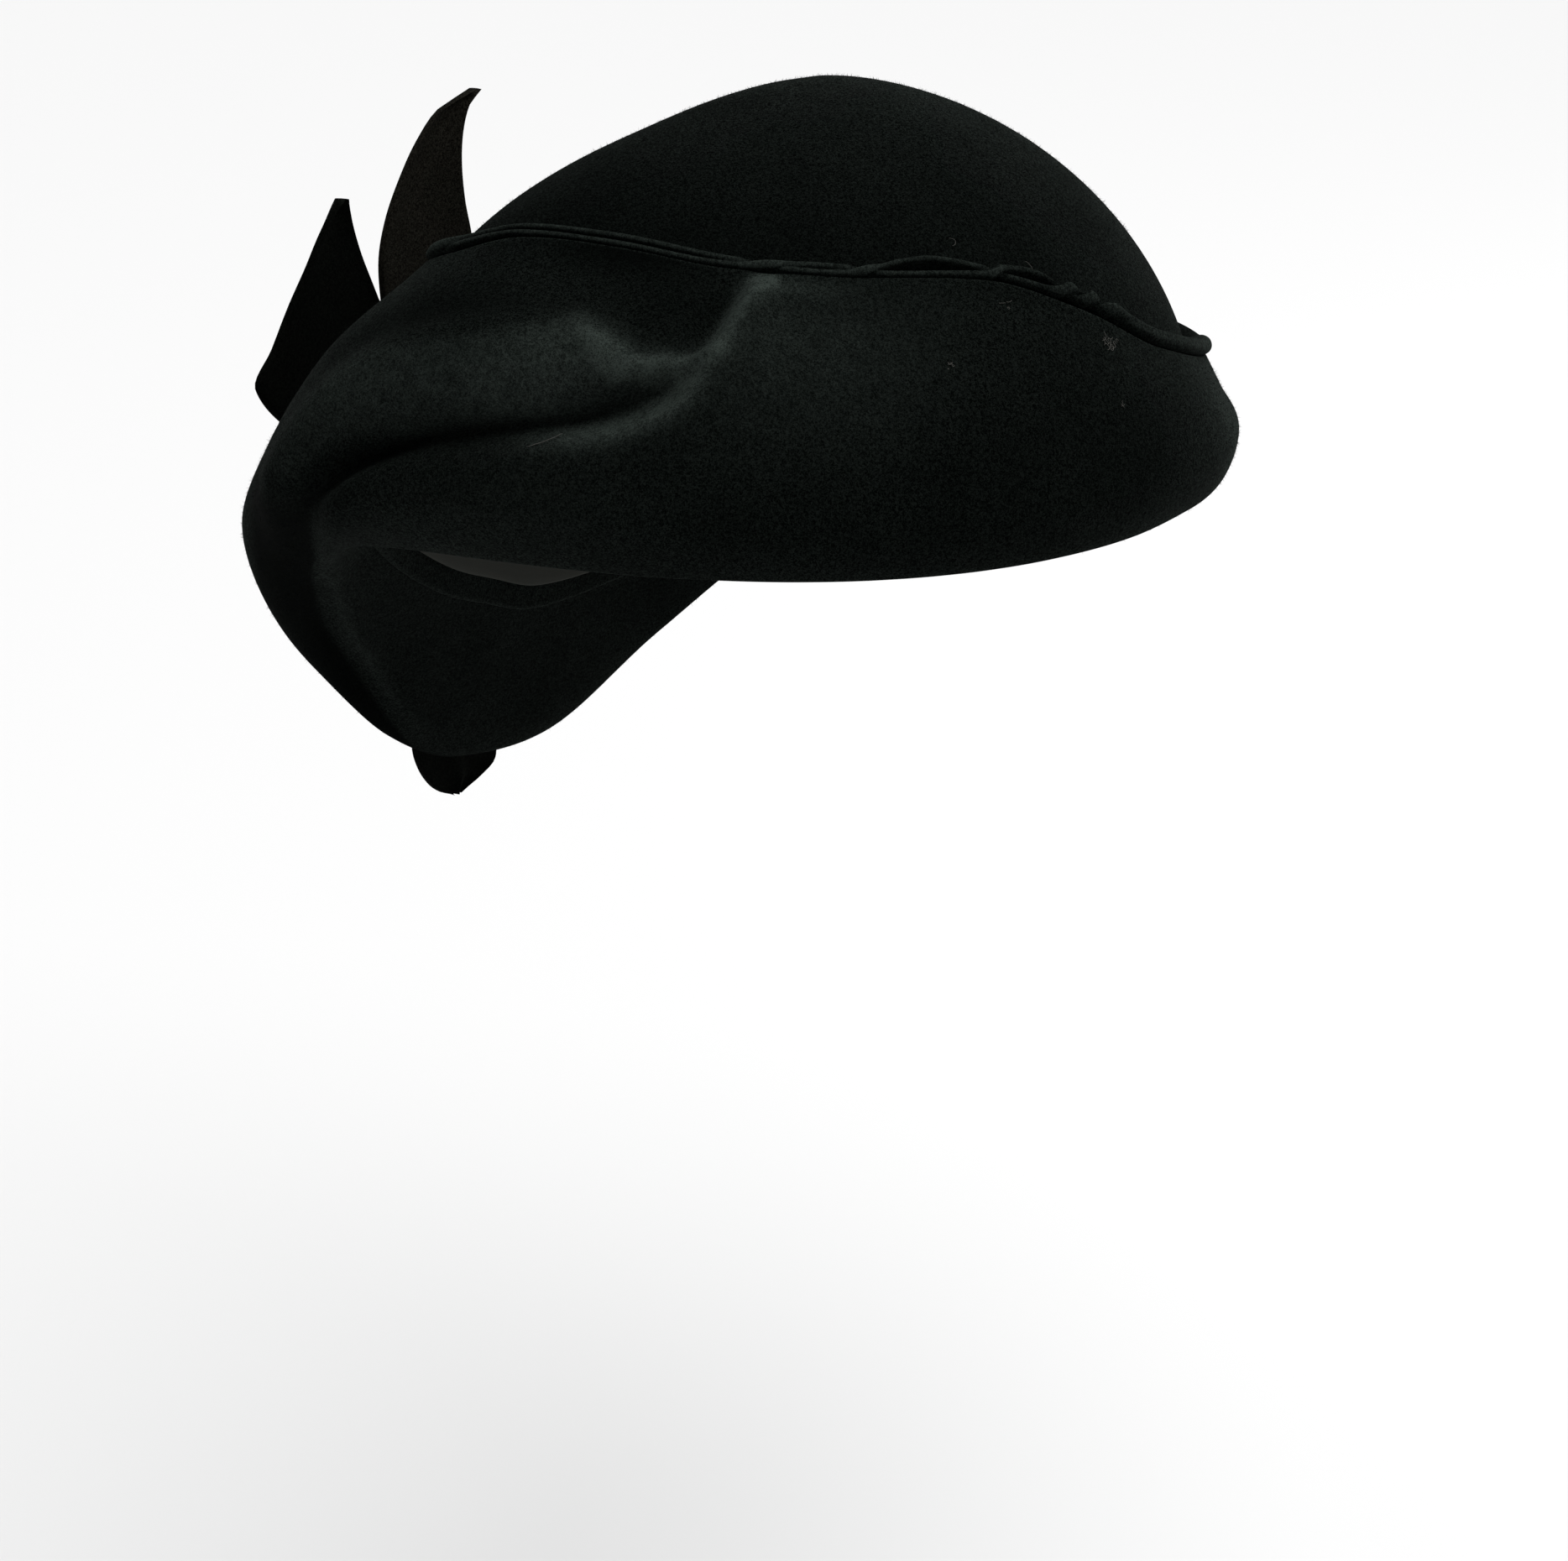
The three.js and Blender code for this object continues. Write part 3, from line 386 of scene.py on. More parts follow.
# The line of the fold: at, place up the cuff, depth of the valley, widths of its upper and
# lower sides, the ridges below and above it, and the lap.
LINE_UP, DEEP, OPEN, TIGHT, BELOW, ABOVE, LAP = range(1, 8)
FOLD = np.array([
    (8, 1.06, 0, 1, 1, 0, 0, 0),
    (13, 1, 0.1, 1, 1, 0.6, 0, 0),
    (15.5, 0.92, 0.32, 1, 1, 1, 0, 0),
    (17.5, 0.79, 0.42, 1, 1, 1, 0, 0),
    (19.5, 0.69, 0.53, 1, 1, 1, 0, 0.1),
    (23, 0.63, 0.68, 1, 1, 0.8, 0, 0.3),
    (30, 0.57, 0.79, 1, 1, 0.5, 0.2, 0.7),
    (37, 0.55, 0.9, 1, 1, 0.2, 0.5, 0.9),
    (44, 0.53, 1, 1, 1, 0, 0.7, 1),
    (49, 0.5, 1, 1.1, 0.9, 0, 0.8, 1),
    (53, 0.46, 0.95, 1.2, 0.8, 0.1, 0.8, 0.7),
    (56, 0.41, 0.78, 1.4, 0.75, 0.3, 0.6, 0.4),
    (58.5, 0.345, 0.58, 1.6, 0.7, 0.4, 0.4, 0.2),
    (61, 0.275, 0.4, 1.8, 0.65, 0.35, 0.2, 0),
    (65, 0.21, 0.27, 1.9, 0.6, 0.3, 0.1, 0),
    (71, 0.155, 0.22, 1.9, 0.6, 0.35, 0, 0),
    (79, 0.13, 0.35, 1.8, 0.5, 0.7, 0, 0),
    (90, 0.15, 0.55, 1.7, 0.45, 1, 0, 0),
    (98, 0.175, 0.4, 1.6, 0.5, 0.7, 0, 0),
    (105, 0.21, 0.15, 1.4, 0.7, 0.3, 0, 0),
    (112, 0.25, 0, 1.2, 1, 0, 0, 0),
])
# the crease that meets the fold: at, place up the cuff, height
CREASE = np.array([
    (10, 0.72, 0),
    (15, 0.715, 0.6),
    (20, 0.7, 1),
    (25, 0.685, 1),
    (30, 0.705, 0.8),
    (34, 0.745, 0.3),
    (38, 0.78, 0),
])

# Where the colour is made paler, by rubbed nap and painted highlight, or darker, by painted shade:
# at, share of the way up, width in degrees, width as a share, and how much.
PATCHES = [
    (5, 0.78, 28, 0.26, 0.21),
    (7, 0.97, 8, 0.03, 0.35),
    (34, 0.32, 14, 0.12, 0.11),
    (33, 0.7, 6, 0.06, 0.25),
    (37, 0.6, 6, 0.04, 0.2),
    (46, 0.73, 9, 0.1, -0.65),
    (56, 0.75, 9, 0.14, -0.4),
    (36, 1, 14, 0.09, -0.8),
    (24, 0.86, 7, 0.08, -0.45),
    (-44, 0.5, 22, 0.35, -0.3),
    (-80, 0.5, 14, 0.5, 0.25),
]


def crown_section(angle, up):
    """The crown's outward and upward place, the way square to it, and that way's slant."""
    point, above = crown_point(angle, up), crown_point(angle, up + 0.01)
    flat = lambda p: np.stack([np.hypot(p[..., 0], p[..., 1]), p[..., 2]], -1)
    run = unit(flat(above) - flat(point))
    out = np.stack([run[..., 1], -run[..., 0]], -1)
    square = square_to_crown(angle, up)
    slant = 1 / (placed(angle, out[..., 0], out[..., 1]) * square).sum(-1)
    return flat(point), out, slant


def cuff_places(angle):
    """The places that the cuff's section goes through at each angle."""
    read = lambda column: round_head(SECTIONS, column, angle)
    place = lambda out, up: np.stack([REACH * read(out), RISE * read(up)], -1)
    edge = place(EDGE_OUT, EDGE_UP) + (GAP, 0)
    fold = place(FOLD_OUT, FOLD_UP)
    crest = place(CREST_OUT, CREST_UP)
    on_crown, out, slant = crown_section(angle, read(WELT))
    welt = on_crown + out * ((FELT + WELT_AIR) * slant)[..., None]
    rise = unit(welt - crest)
    out = np.stack([rise[..., 1], -rise[..., 0]], -1)
    shoulder = (crest + welt) / 2 + out * (REACH * read(FULL))[..., None]
    return np.stack([edge, fold, crest, shoulder, welt], -2)


def plain_cuff(places, up):
    """The plain curve of the cuff's section, its direction square to it, and its length."""
    steps = np.linalg.norm(np.diff(places, axis=-2), axis=-1)
    marks = np.concatenate([np.zeros_like(steps[..., :1]), np.cumsum(steps**0.7, -1)], -1)
    marks = (marks / marks[..., -1:])[..., None]
    slope = np.zeros_like(places)
    run, gap = places[..., 2:, :] - places[..., :-2, :], marks[..., 2:, :] - marks[..., :-2, :]
    slope[..., 1:-1, :] = run / gap
    for end, beside in ((0, 1), (-1, -2)):
        gap = marks[..., beside, :] - marks[..., end, :]
        slope[..., end, :] = (places[..., beside, :] - places[..., end, :]) / gap
    i = (up[..., None] > marks[:, None, 1:-1, 0]).sum(-1)
    row = np.arange(len(places))[:, None]
    here, after = marks[row, i], marks[row, i + 1]
    step = after - here
    t = (up[..., None] - here) / step
    a, b = places[row, i], places[row, i + 1]
    sa, sb = slope[row, i] * step, slope[row, i + 1] * step
    point = (
        (2 * t**3 - 3 * t**2 + 1) * a
        + (t**3 - 2 * t**2 + t) * sa
        + (3 * t**2 - 2 * t**3) * b
        + (t**3 - t**2) * sb
    )
    run = unit((6 * t**2 - 6 * t) * (a - b) + (3 * t**2 - 4 * t + 1) * sa + (3 * t**2 - 2 * t) * sb)
    return point, run, steps.sum(-1)[:, None]


def beside_line(rows, angle, up, length):
    """How far a place of the cuff lies above a line of folds, and the nearest angle on the line."""
    ats = np.arange(rows[0, AT], rows[-1, AT] + 0.1, 0.5)
    ups = along(rows, LINE_UP, ats)
    far, nearest = np.full(angle.shape, np.inf), np.zeros(angle.shape)
    for at, line_up, run, rise in zip(ats, ups, np.diff(ats), np.diff(ups)):
        x, y = np.radians(angle - at) * REACH, (up - line_up) * length
        across, along_it = math.radians(run) * REACH, rise * length
        share = np.clip((x * across + y * along_it) / (across**2 + along_it**2), 0, 1)
        away = np.hypot(x - share * across, y - share * along_it)
        closer = away < far
        far, nearest = np.where(closer, away, far), np.where(closer, at + share * run, nearest)
    return far * np.where(up > along(rows, LINE_UP, angle), 1, -1), nearest


def cuff_surface(angles, ups):
    """The cuff's outer and inner faces on a grid, and its rubbed nap with painted highlight and
    painted shade.
    """
    angle, up = np.meshgrid(angles, ups, indexing="ij")
    wrapped = np.where(angle > BEHIND, angle - 360, angle)
    flat, run, length = plain_cuff(cuff_places(angles), up)
    out = np.stack([run[..., 1], -run[..., 0]], -1)
    d, nearest = beside_line(FOLD, wrapped, up, length)
    read = lambda column: along(FOLD, column, nearest)
    tight = read(TIGHT)
    sides = np.where(d > 0, VALLEY_ABOVE * read(OPEN), VALLEY_BELOW * tight)
    valley = FOLD_DEEP * read(DEEP) * bump(d / sides)
    lower = RIDGE_HIGH * read(BELOW) * bump((d + RIDGE_BELOW * tight) / (RIDGE_BELOW_WIDE * tight))
    upper = RIDGE_HIGH * read(ABOVE) * bump((d - RIDGE_ABOVE) / RIDGE_ABOVE_WIDE)
    e, nearest_crease = beside_line(CREASE, wrapped, up, length)
    high = CREASE_HIGH * along(CREASE, 2, nearest_crease)
    crease = high * bump(e / CREASE_WIDE)
    foot = CREASE_FOOT_DEEP * high * bump((e + CREASE_FOOT) / CREASE_FOOT_WIDE)
    fade = np.clip(up / EDGE_FADE, 0, 1) * np.clip((1 - up) / WELT_FADE, 0, 1)
    lift = (lower + upper - valley + crease - foot) * fade
    slide = LAP_OVER * read(LAP) * bump((d - LAP_AT) / LAP_WIDE) * fade

    def clear(places):
        # the felt never presses into the crown under it
        shares = np.arange(1, 15) / 14
        welt = round_head(SECTIONS, WELT, angles)[:, None]
        on_crown, square, slant = crown_section(angles[:, None], welt * shares)
        away = places[:, :, None, :] - on_crown[:, None]
        nearest = np.linalg.norm(away, axis=-1).argmin(-1)
        row = np.arange(len(angles))[:, None]
        square, slant = square[row, nearest], slant[row, nearest]
        far = (np.take_along_axis(away, nearest[..., None, None], 2)[:, :, 0] * square).sum(-1)
        short = np.clip((FELT + WELT_AIR) * slant - far, 0, None) * (up > 0.5)
        return places + square * short[..., None]

    outer = clear(flat + out * lift[..., None] - run * slide[..., None])
    # the inner face follows the deepest place nearby, so the felt keeps its thickness in the fold
    deepest = lift.copy()
    reach = 5
    for k in range(1, reach + 1):
        deepest[:, k:] = np.minimum(deepest[:, k:], lift[:, :-k])
        deepest[:, :-k] = np.minimum(deepest[:, :-k], lift[:, k:])
    under = clear(flat + out * deepest[..., None])
    outer = placed(angle, outer[..., 0], outer[..., 1])
    under = placed(angle, under[..., 0], under[..., 1])
    sideways = np.roll(under, -1, 0) - np.roll(under, 1, 0)
    upward = np.gradient(under, axis=1)
    inner = under - FELT * unit(np.cross(upward, sideways))
    # the tops of the ridges and of the crease are made pale: rubbed nap and painted highlight
    top_of_ridge = bump((d + RIDGE_WEAR_AND_HIGHLIGHT_BELOW * tight) / (RIDGE_WEAR_AND_HIGHLIGHT_WIDE * tight))
    below = np.clip(2 * read(BELOW), 0, 1) * top_of_ridge
    above = read(ABOVE) * bump((d - RIDGE_ABOVE) / UPPER_WEAR_AND_HIGHLIGHT_WIDE)
    wear_and_painted_light = 1.25 * below * (1 - 0.65 * bump((nearest - 43) / 14)) + above
    wear_and_painted_light = wear_and_painted_light * np.clip((66 - nearest) / 24, 0.22, 1)
    wear_and_painted_light = wear_and_painted_light + np.clip(crease / CREASE_HIGH, 0, 1) ** 1.5
    for at, share, wide, tall, rubbed_and_painted_light in PATCHES:
        wear_and_painted_light = wear_and_painted_light + rubbed_and_painted_light * bump((wrapped - at) / wide) * bump((up - share) / tall)
    # painted shade on the hanging part, most on its upper sheet above the fold, and in the groove
    # of the fold where it turns down
    hanging = np.clip((nearest - 58) / 6, 0, 1)
    upper_sheet = np.clip(d / LINE_FADE, 0, 1) * np.clip((SHEET_WIDE - d) / SHEET_FADE, 0, 1)
    wear_and_painted_light = wear_and_painted_light - hanging * np.where(d > 0, 0.85 * upper_sheet, 0.2)
    turning_down = np.clip((nearest - 48) / 6, 0, 1) * np.clip((64 - nearest) / 5, 0, 1)
    wear_and_painted_light = wear_and_painted_light - 0.8 * bump((d + PAINTED_SHADE_BELOW) / PAINTED_SHADE_WIDE) * turning_down
    return outer, inner, np.clip(wear_and_painted_light, -1, 1)


cuff_angles = np.concatenate([
    np.arange(-15, 6, 1.0),
    np.arange(6, 34, 0.35),
    np.arange(34, 128, 0.7),
    np.arange(128, 344.9, 1.6),
])
cuff_ups = np.linspace(0, 1, CUFF_LINES)
cuff_outer, inner, wear_and_painted_light = cuff_surface(np.mod(cuff_angles, 360), cuff_ups)
inner = inner[:, ::3]
below, above = cuff_outer[:, 0] - cuff_outer[:, 2], cuff_outer[:, -1] - cuff_outer[:, -3]
low_rim = round_rim(inner[:, 0], cuff_outer[:, 0], unit(below))
top_rim = round_rim(cuff_outer[:, -1], inner[:, -1], unit(above))
shell = np.concatenate([low_rim, cuff_outer, top_rim, inner[:, ::-1]], 1)
rows, wide = shell.shape[:2]
rubbed_and_painted_light = np.zeros((rows, wide))
rubbed_and_painted_light[:, low_rim.shape[1]:low_rim.shape[1] + CUFF_LINES] = wear_and_painted_light
cuff = mesh_object("cuff_felt", shell.reshape(-1, 3), ring_faces(rows, wide), rubbed_and_painted_light)
cuff.data.materials.append(felt)
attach(cuff, "root")
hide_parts("draped_cuff")


# Twisted band
# A narrow strip of felt laid round the foot of the dome over the top edge of the cuff. It is
# twisted on itself: between the crossings it opens into long hollows between two thin lips,
# and at the right it is rolled up tight.
BAND_HIGH = 0.0024
BAND_HOLLOW = 0.0022
BAND_AIR = 0.0008
BAND_OUT = 0.0034
LIP = 0.0007
LEAD = 0.8

# at, share of half the height, share of the hollow's depth, share of the lips' radius
HIGH, HOLLOW, LIPS = 1, 2, 3
BAND = np.array([
    (0, 0.6, 0.6, 1),
    (3, 0.6, 0.6, 1),
    (7, 0.56, 0.2, 1.1),
    (12, 0.5, 0, 1.2),
    (17, 0.56, 0.3, 1.1),
    (24, 0.62, 0.8, 1),
    (34, 0.66, 1, 1),
    (46, 0.66, 1, 1),
    (56, 0.68, 0.7, 1.1),
    (64, 0.66, 0.3, 1.3),
    (70, 0.56, 0, 1.4),
    (80, 0.55, 0, 1.6),
    (130, 0.5, 0, 1.7),
    (200, 0.5, 0, 1.7),
    (265, 0.55, 0, 1.8),
    (273, 0.85, 0, 2.8),
    (278, 0.9, 0, 2.9),
    (285, 0.75, 0, 2.4),
    (300, 0.72, 0, 2.2),
    (308, 0.85, 0.1, 1.9),
    (316, 1, 0.4, 1.6),
    (323, 1, 0.7, 1.3),
    (328, 0.75, 0.3, 1.2),
    (331, 0.62, 0, 1.2),
    (335, 0.8, 0.6, 1.1),
    (341, 1, 1, 1),
    (347, 0.85, 0.7, 1),
    (351, 0.6, 0.2, 1.1),
    (354, 0.54, 0, 1.2),
    (357, 0.58, 0.3, 1.1),
])
# the twist: at, half turns
TWIST = np.array([
    (-62, 0), (-54, 0), (-38, 3), (-33, 3), (-28, 4), (-10, 4), (-3, 5),
    (6, 5), (17, 6), (62, 6), (74, 7), (150, 7), (175, 8), (298, 8),
])


def half_turns(at):
    """How far the strip is twisted, easing from row to row of the table and level at each."""
    ats, turns = TWIST.T
    i = np.clip(np.searchsorted(ats, at, "right") - 1, 0, len(ats) - 2)
    t = np.clip((at - ats[i]) / (ats[i + 1] - ats[i]), 0, 1)
    return turns[i] + (turns[i + 1] - turns[i]) * t * t * (3 - 2 * t)


def band_sections(angles, front=30, back=8):
    """The band's section at each angle: its depth from the crown and its height on it."""
    read = lambda column: round_head(BAND, column, angles)[:, None]
    lip = LIP * read(LIPS)
    half = np.maximum(BAND_HIGH * read(HIGH), lip * 1.02)
    twist = math.pi * half_turns(np.where(angles > TWIST[-1, AT], angles - 360, angles))[:, None]
    # the two lips of the strip turn round each other; where one lies in front, they cross
    side, lead = (half - lip) * np.cos(twist), LEAD * lip * np.sin(twist)
    reach = np.abs(side) + lip
    rise = reach * np.cos(np.linspace(0, math.pi, front))

    def roll(at, out):
        # a lip's front, and far back where there is no lip
        beside = np.abs(rise - at)
        round_front = np.sqrt(np.clip(lip**2 - beside**2, 0, None))
        return out + round_front - 1.0 * (beside > lip * 1.0001)

    between = -BAND_HOLLOW * np.clip(read(HOLLOW), 0, None) + 0 * rise
    depth = BAND_OUT + np.maximum(np.maximum(roll(side, lead), roll(-side, -lead)), between)
    behind = reach * np.linspace(-1, 1, back)
    depth = np.concatenate([depth, np.full_like(behind, GAP)], 1)
    rise = np.concatenate([rise, behind], 1)
    # the lips are made pale, less so at the right, as rubbed nap and painted highlight, and the
    # hollow between them gets painted shade
    front_most = np.clip((depth - BAND_OUT) / lip, 0, 1)
    pale = (0.38 + 0.2 * np.abs(np.sin(twist))) * (1 - 0.65 * bump((angles[:, None] - 310) / 30))
    rubbed_and_painted_light = front_most**2 * pale - 0.3 * (1 - front_most)
    return depth, rise + half + BAND_AIR, rubbed_and_painted_light


band_angles = np.concatenate([np.arange(-84, 84, 0.6), np.arange(84, 275.9, 2.5)])
band_wrapped = np.mod(band_angles, 360)
depth, height, rubbed_and_painted_light = band_sections(band_wrapped)
welt = round_head(SECTIONS, WELT, band_wrapped)
foot = crown_point(band_wrapped, welt)
square = square_to_crown(band_wrapped, welt)
upward = unit(crown_point(band_wrapped, welt + 0.02) - foot)
points = foot[:, None] + square[:, None] * depth[..., None] + upward[:, None] * height[..., None]
band = mesh_object("band_felt", points.reshape(-1, 3), ring_faces(*points.shape[:2]), rubbed_and_painted_light)
band.data.materials.append(felt)
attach(band, "root")
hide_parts("twisted_band")


# Inner ribbon
# A brownish black woven ribbon with fine ribs. It is sewn flat against the inside of the crown,
# all along the head opening.
RIBBON_THICK = 0.001
RIBBON_WIDE = 0.020
RIBBON_AIR = 0.0008
RIBBON_FROM = 0.02
RIBS = 1500

ribbon_angles = np.linspace(0, 360, 220, endpoint=False)
rise = crown_point(ribbon_angles, 0.25)[:, 2] - RISE * round_head(SECTIONS, EDGE_UP, ribbon_angles)
share = 0.25 * RIBBON_WIDE / rise
angle, line = np.meshgrid(ribbon_angles, np.linspace(0, 1, 16), indexing="ij")
up = RIBBON_FROM + share[:, None] * line
square = square_to_crown(angle, up)
outer = crown_point(angle, up) - square * (FELT + RIBBON_AIR)
inner = outer - square * RIBBON_THICK
low_rim = round_rim(inner[:, 0], outer[:, 0], unit(outer[:, 0] - outer[:, 1]), 3)
top_rim = round_rim(outer[:, -1], inner[:, -1], unit(outer[:, -1] - outer[:, -2]), 3)
shell = np.concatenate([low_rim, outer, top_rim, inner[:, ::-1]], 1)
ribbon = mesh_object("inner_ribbon", shell.reshape(-1, 3), ring_faces(*shell.shape[:2]))
weave = bpy.data.materials.new("ribbon_weave")
weave.use_nodes = True
nodes, links = weave.node_tree.nodes, weave.node_tree.links
shader = nodes["Principled BSDF"]
ribs = nodes.new("ShaderNodeTexWave")
ribs.bands_direction = "Z"
ribs.inputs["Scale"].default_value = RIBS
ribs.inputs["Distortion"].default_value = 0.4
links.new(nodes.new("ShaderNodeTexCoord").outputs["Object"], ribs.inputs["Vector"])
threads = nodes.new("ShaderNodeValToRGB")
threads.color_ramp.elements[0].color = (0.006, 0.0068, 0.0052, 1)
threads.color_ramp.elements[1].color = (0.0175, 0.0188, 0.015, 1)
links.new(ribs.outputs["Fac"], threads.inputs["Fac"])
links.new(threads.outputs["Color"], shader.inputs["Base Color"])
shader.inputs["Roughness"].default_value = 0.8
shader.inputs["Specular IOR Level"].default_value = 0.1
ribbon.data.materials.append(weave)
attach(ribbon, "root")
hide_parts("headband")


# Leaves
# Three pointed blades cut from thinner felt, sewn one over the other to the outside of the cuff
# at the back left. Two stand up past the cuff, the third hangs below it.
LEAF_THICK = 0.0016
LEAF_AIR = 0.0006
LEAF_CUP = 0.0015
LEAF_FLARE = 0.0015
LEAF_EDGE = 0.0005
LEAF_CREASE = 0.002
LEAF_NAP = 0.25

# each leaf's outline: height as a share of RISE, then its near and far edges in degrees
TALL_LEAF = np.array([
    (-0.5, 120, 126), (-0.25, 118, 128.5), (0, 116.5, 130.5), (0.2, 115.6, 131),
    (0.35, 115.5, 131), (0.46, 117.2, 130.2), (0.57, 120.4, 130), (0.66, 123.8, 130.6),
    (0.73, 127.8, 132), (0.76, 132.8, 133.8),
])
SHORT_LEAF = np.array([
    (-0.5, 119, 126), (-0.3, 113.5, 125), (-0.1, 103.5, 122), (0.1, 97, 118.6), (0.19, 99.6, 116.8),
    (0.3, 102.4, 114.8), (0.38, 104.8, 113.4), (0.46, 107.4, 112.4), (0.52, 110, 112),
    (0.54, 111.4, 112),
])
LOW_LEAF = np.array([
    (-0.5, 120, 126), (-0.7, 117.5, 128.5), (-0.9, 116, 130), (-1.1, 116, 131), (-1.18, 117.2, 131),
    (-1.25, 119.4, 130.6), (-1.29, 121.6, 127.2), (-1.31, 123.4, 124.6),
])


def cuff_reach(angle):
    """The widest reach of the cuff at each angle."""
    few = np.linspace(90, 140, 101)
    face, _, _ = cuff_surface(few, np.linspace(0, 1, 41))
    return np.interp(angle, few, np.hypot(face[..., 0], face[..., 1]).max(1))


# the leaves' pale ends are brought out by a painted sheen where a leaf is seen edge on
BROWN_DARK, BROWN_TIPS = (0.002, 0.0018, 0.0014), (0.033, 0.032, 0.025)
SMOOTH_DARK, SMOOTH_TIPS = (0.0005, 0.0006, 0.0005), (0.026, 0.03, 0.024)
brown_felt = black_felt("brown_leaf_felt", BROWN_DARK, BROWN_TIPS, 0.36, 0.5, LEAF_NAP)
dark_felt = black_felt("dark_leaf_felt", SMOOTH_DARK, SMOOTH_TIPS, 0.09, 0.28, LEAF_NAP)


def leaf(name, node, rows, layer, cloth, crease=0.0):
    """A curved blade that flares and cups a little towards its tip, in one layer of the stack."""
    rooted, tip = rows[0, 0], rows[-1, 0]
    order = rows if tip > rooted else rows * (-1, 1, 1)
    up = np.linspace(order[0, 0], order[-1, 0], 70)
    near, far = along(order, 1, up)[:, None], along(order, 2, up)[:, None]
    share = np.linspace(0, 1, 17)[None, :]
    angle = near + (far - near) * share
    up = (up if tip > rooted else -up)[:, None] + 0 * angle
    away = (up - rooted) / (tip - rooted)
    cup = LEAF_CUP * away**2 * (1 - (2 * share - 1) ** 2)
    cup = cup - crease * bump((share - 0.45) / 0.1) * away
    stacked = layer * (LEAF_THICK + LEAF_AIR)
    reach = cuff_reach(angle) + GAP + stacked + cup + LEAF_FLARE * away**2
    front, back = placed(angle, reach + LEAF_THICK, RISE * up), placed(angle, reach, RISE * up)
    rows, wide = front.shape[:2]
    # the points of the outline, once round
    edge = [(0, k) for k in range(wide)] + [(k, wide - 1) for k in range(1, rows)]
    edge += [(rows - 1, k) for k in range(wide - 2, -1, -1)]
    edge += [(k, 0) for k in range(rows - 2, 0, -1)]
    points = np.concatenate([front.reshape(-1, 3), back.reshape(-1, 3)])
    half = rows * wide
    faces = []
    for i in range(rows - 1):
        for k in range(wide - 1):
            a, b, c, d = i * wide + k, (i + 1) * wide + k, (i + 1) * wide + k + 1, i * wide + k + 1
            faces += [(a, b, c, d), (half + a, half + d, half + c, half + b)]
    for (i, k), (m, n) in zip(edge, edge[1:] + edge[:1]):
        a, b = i * wide + k, m * wide + n
        faces.append((a, b, half + b, half + a))
    if tip < rooted:
        faces = [face[::-1] for face in faces]
    made = mesh_object(name, points, faces, wear_and_painted_light=np.zeros(len(points)))
    soft = made.modifiers.new("soft_edge", "BEVEL")
    soft.width = LEAF_EDGE
    soft.segments = 2
    soft.limit_method = "ANGLE"
    soft.angle_limit = math.radians(50)
    made.data.materials.append(cloth)
    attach(made, "root")
    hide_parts(node)
    return made


low_leaf = leaf("low_leaf_felt", "leaf_low", LOW_LEAF, 0, dark_felt, crease=LEAF_CREASE)
tall_leaf = leaf("tall_leaf_felt", "leaf_tall", TALL_LEAF, 1, brown_felt)
short_leaf = leaf("short_leaf_felt", "leaf_short", SHORT_LEAF, 2, dark_felt)


# Nap
# The short hairs of the felt's nap that stand out along its outlines. They are less than a
# tenth of a millimetre thick, and lie in all directions.
rng = np.random.default_rng(7)
NAP_LONG = 0.0009
NAP_THICK = 0.00004
NAP_SUNK = 0.0001


def nap(name, grid, count):
    """Standing hairs spread evenly over a grid of points, each a closed three-sided spike."""
    across, upward = grid[1:, :-1] - grid[:-1, :-1], grid[:-1, 1:] - grid[:-1, :-1]
    square = np.cross(upward, across)
    area = np.linalg.norm(square, axis=-1)
    cell = rng.choice(area.size, count, p=(area / area.sum()).ravel())
    i, j = np.unravel_index(cell, area.shape)
    u, v = rng.random((2, count, 1))
    root = grid[i, j] + across[i, j] * u + upward[i, j] * v
    out = unit(unit(square[i, j]) + 0.7 * rng.normal(size=(count, 3)))
    out = np.where((out * square[i, j]).sum(-1, keepdims=True) < 0, -out, out)
    side = unit(np.cross(out, rng.normal(size=(count, 3))))
    other = np.cross(out, side)
    turns = [math.tau * k / 3 for k in range(3)]
    foot = root - out * NAP_SUNK
    base = [foot + NAP_THICK * (math.cos(t) * side + math.sin(t) * other) for t in turns]
    tip = root + out * NAP_LONG * (0.35 + 0.65 * rng.random((count, 1)))
    first = 4 * np.arange(count)[:, None]
    sides = ((0, 2, 1), (0, 1, 3), (1, 2, 3), (2, 0, 3))
    spikes = np.concatenate([first + np.array(side) for side in sides])
    points = np.stack([*base, tip], 1).reshape(-1, 3)
    made = mesh_object(name, points, spikes.tolist(), wear_and_painted_light=np.zeros(len(points)))
    made.data.materials.append(felt)
    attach(made, "root")


nap("crown_nap", crown_outer[:, 30:], 9000)
nap("cuff_nap", cuff_outer[:, 20:-8], 15000)


# Lint
# Pale fluff that has settled on the felt: a curled tuft by the band at the right, a few small
# specks, a fine thread below the fold, and two loose hairs on the crown.
HAIR_THICK = 0.00004
THREAD_THICK = 0.00006
HAIR_STEPS = 14
HAIR_SIDES = 5
HAIR_OFF = 0.0003

pale_lint = bpy.data.materials.new("pale_lint")
pale_lint.use_nodes = True
shader = pale_lint.node_tree.nodes["Principled BSDF"]
shader.inputs["Base Color"].default_value = (0.045, 0.044, 0.038, 1)
shader.inputs["Roughness"].default_value = 0.9


def on_cuff(angle, up):
    """A place on the cuff's outer face and the direction square to it."""
    i = int(np.interp(np.mod(angle + 15, 360) - 15, cuff_angles, np.arange(len(cuff_angles))))
    j = min(int(up * (CUFF_LINES - 1)), CUFF_LINES - 2)
    point = cuff_outer[i, j]
    return point, unit(np.cross(cuff_outer[i, j + 1] - point, cuff_outer[i + 1, j] - point))


lint_points, lint_faces = [], []


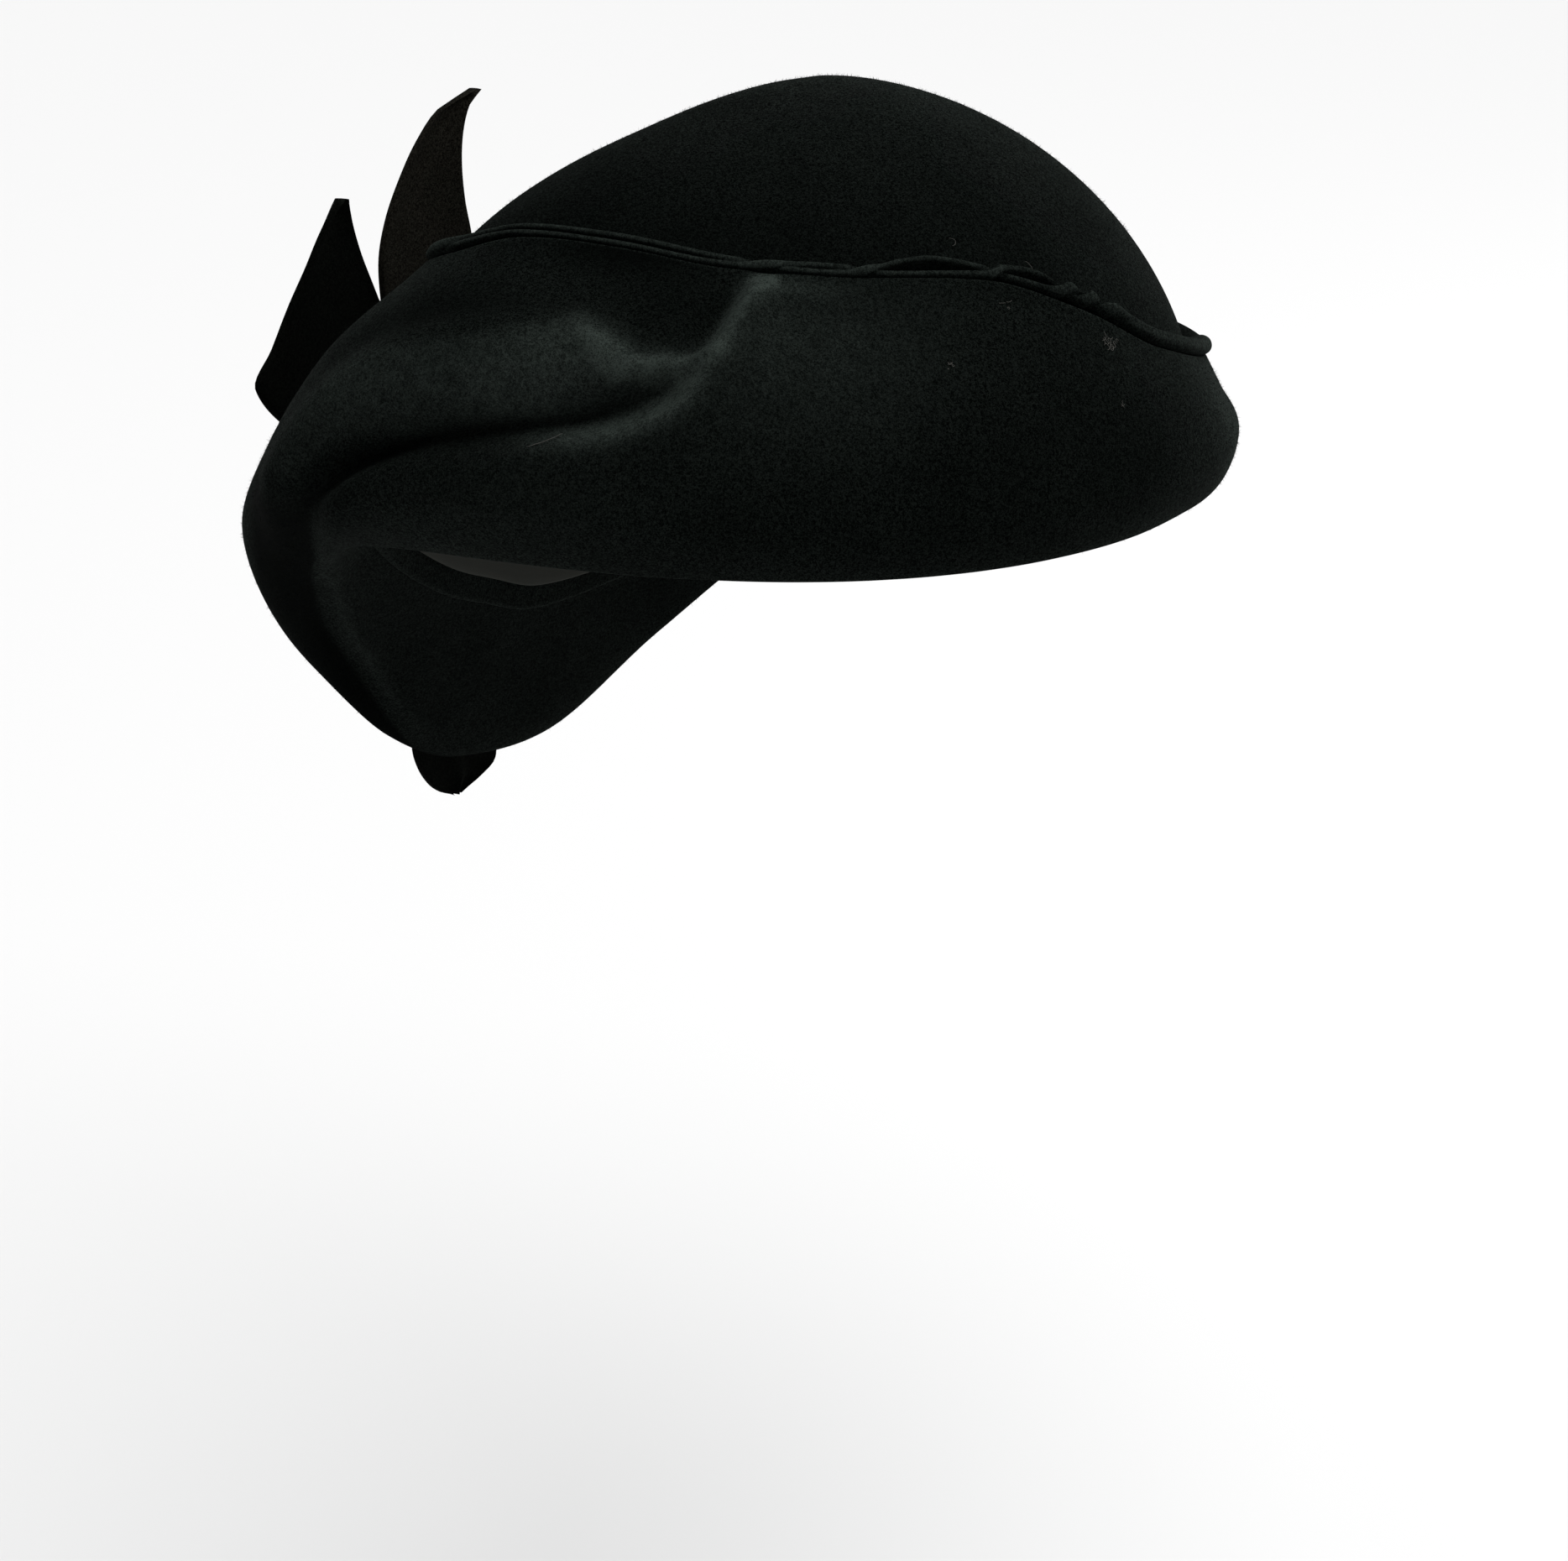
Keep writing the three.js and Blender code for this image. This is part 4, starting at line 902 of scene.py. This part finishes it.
def hair(place, square, heading, length, curl, thick):
    """A fine hair lying on the felt: a closed tube along a curve that bends as it goes."""
    along_it = unit(heading - square * (heading * square).sum())
    point, path = place + square * HAIR_OFF, []
    for k in range(HAIR_STEPS):
        path.append(point)
        bend = curl * (1 + 0.4 * math.sin(k))
        along_it = unit(along_it + np.cross(square, along_it) * bend / HAIR_STEPS)
        point = point + along_it * length / HAIR_STEPS + square * HAIR_THICK * math.sin(1.3 * k)
    first, last = len(lint_points), HAIR_STEPS - 1
    for k, point in enumerate(path):
        run = unit(path[min(k + 1, last)] - path[max(k - 1, 0)])
        side = unit(np.cross(run, square))
        other = np.cross(run, side)
        thin = thick * (0.35 if k in (0, last) else 1)
        for t in range(HAIR_SIDES):
            turn = math.tau * t / HAIR_SIDES
            lint_points.append(point + thin * (math.cos(turn) * side + math.sin(turn) * other))
    ends = [[first + k * HAIR_SIDES + t for t in range(HAIR_SIDES)] for k in range(HAIR_STEPS)]
    for here, after in zip(ends, ends[1:]):
        for t in range(HAIR_SIDES):
            beside = (t + 1) % HAIR_SIDES
            lint_faces.append((here[t], here[beside], after[beside], after[t]))
    lint_faces.append(ends[0][::-1])
    lint_faces.append(ends[-1])


def tuft(place, square, count, wide, length):
    """Hairs that lie over each other in all directions about one place."""
    for _ in range(count):
        heading = rng.normal(size=3)
        start = place + wide * rng.normal(size=3) - 0.4 * length * unit(heading)
        start = start - square * ((start - place) * square).sum()
        length_here, curl = length * rng.uniform(0.5, 1.1), rng.uniform(-9, 9)
        hair(start, square, heading, length_here, curl, HAIR_THICK)


tuft(*on_cuff(-45, 0.89), 12, 0.0006, 0.0036)
tuft(*on_cuff(-17, 0.74), 6, 0.0002, 0.0013)
tuft(*on_cuff(-43, 0.65), 4, 0.0002, 0.0009)
tuft(*on_cuff(-30, 0.93), 3, 0.0005, 0.0022)
thread_from, thread_square = on_cuff(35, 0.475)
thread_to, _ = on_cuff(31, 0.5)
thread = thread_to - thread_from
hair(thread_from, thread_square, thread, np.linalg.norm(thread), 0.4, THREAD_THICK)
for at, share, length, curl in ((-26, 0.51, 0.0035, 4), (-40, 0.46, 0.003, -1.5)):
    place, square = crown_point(at, share), square_to_crown(at, share)
    hair(place, square, np.array([1.0, 0, -0.2]), length, curl, HAIR_THICK)
lint = mesh_object("lint", np.array(lint_points), lint_faces)
lint.data.materials.append(pale_lint)
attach(lint, "root")
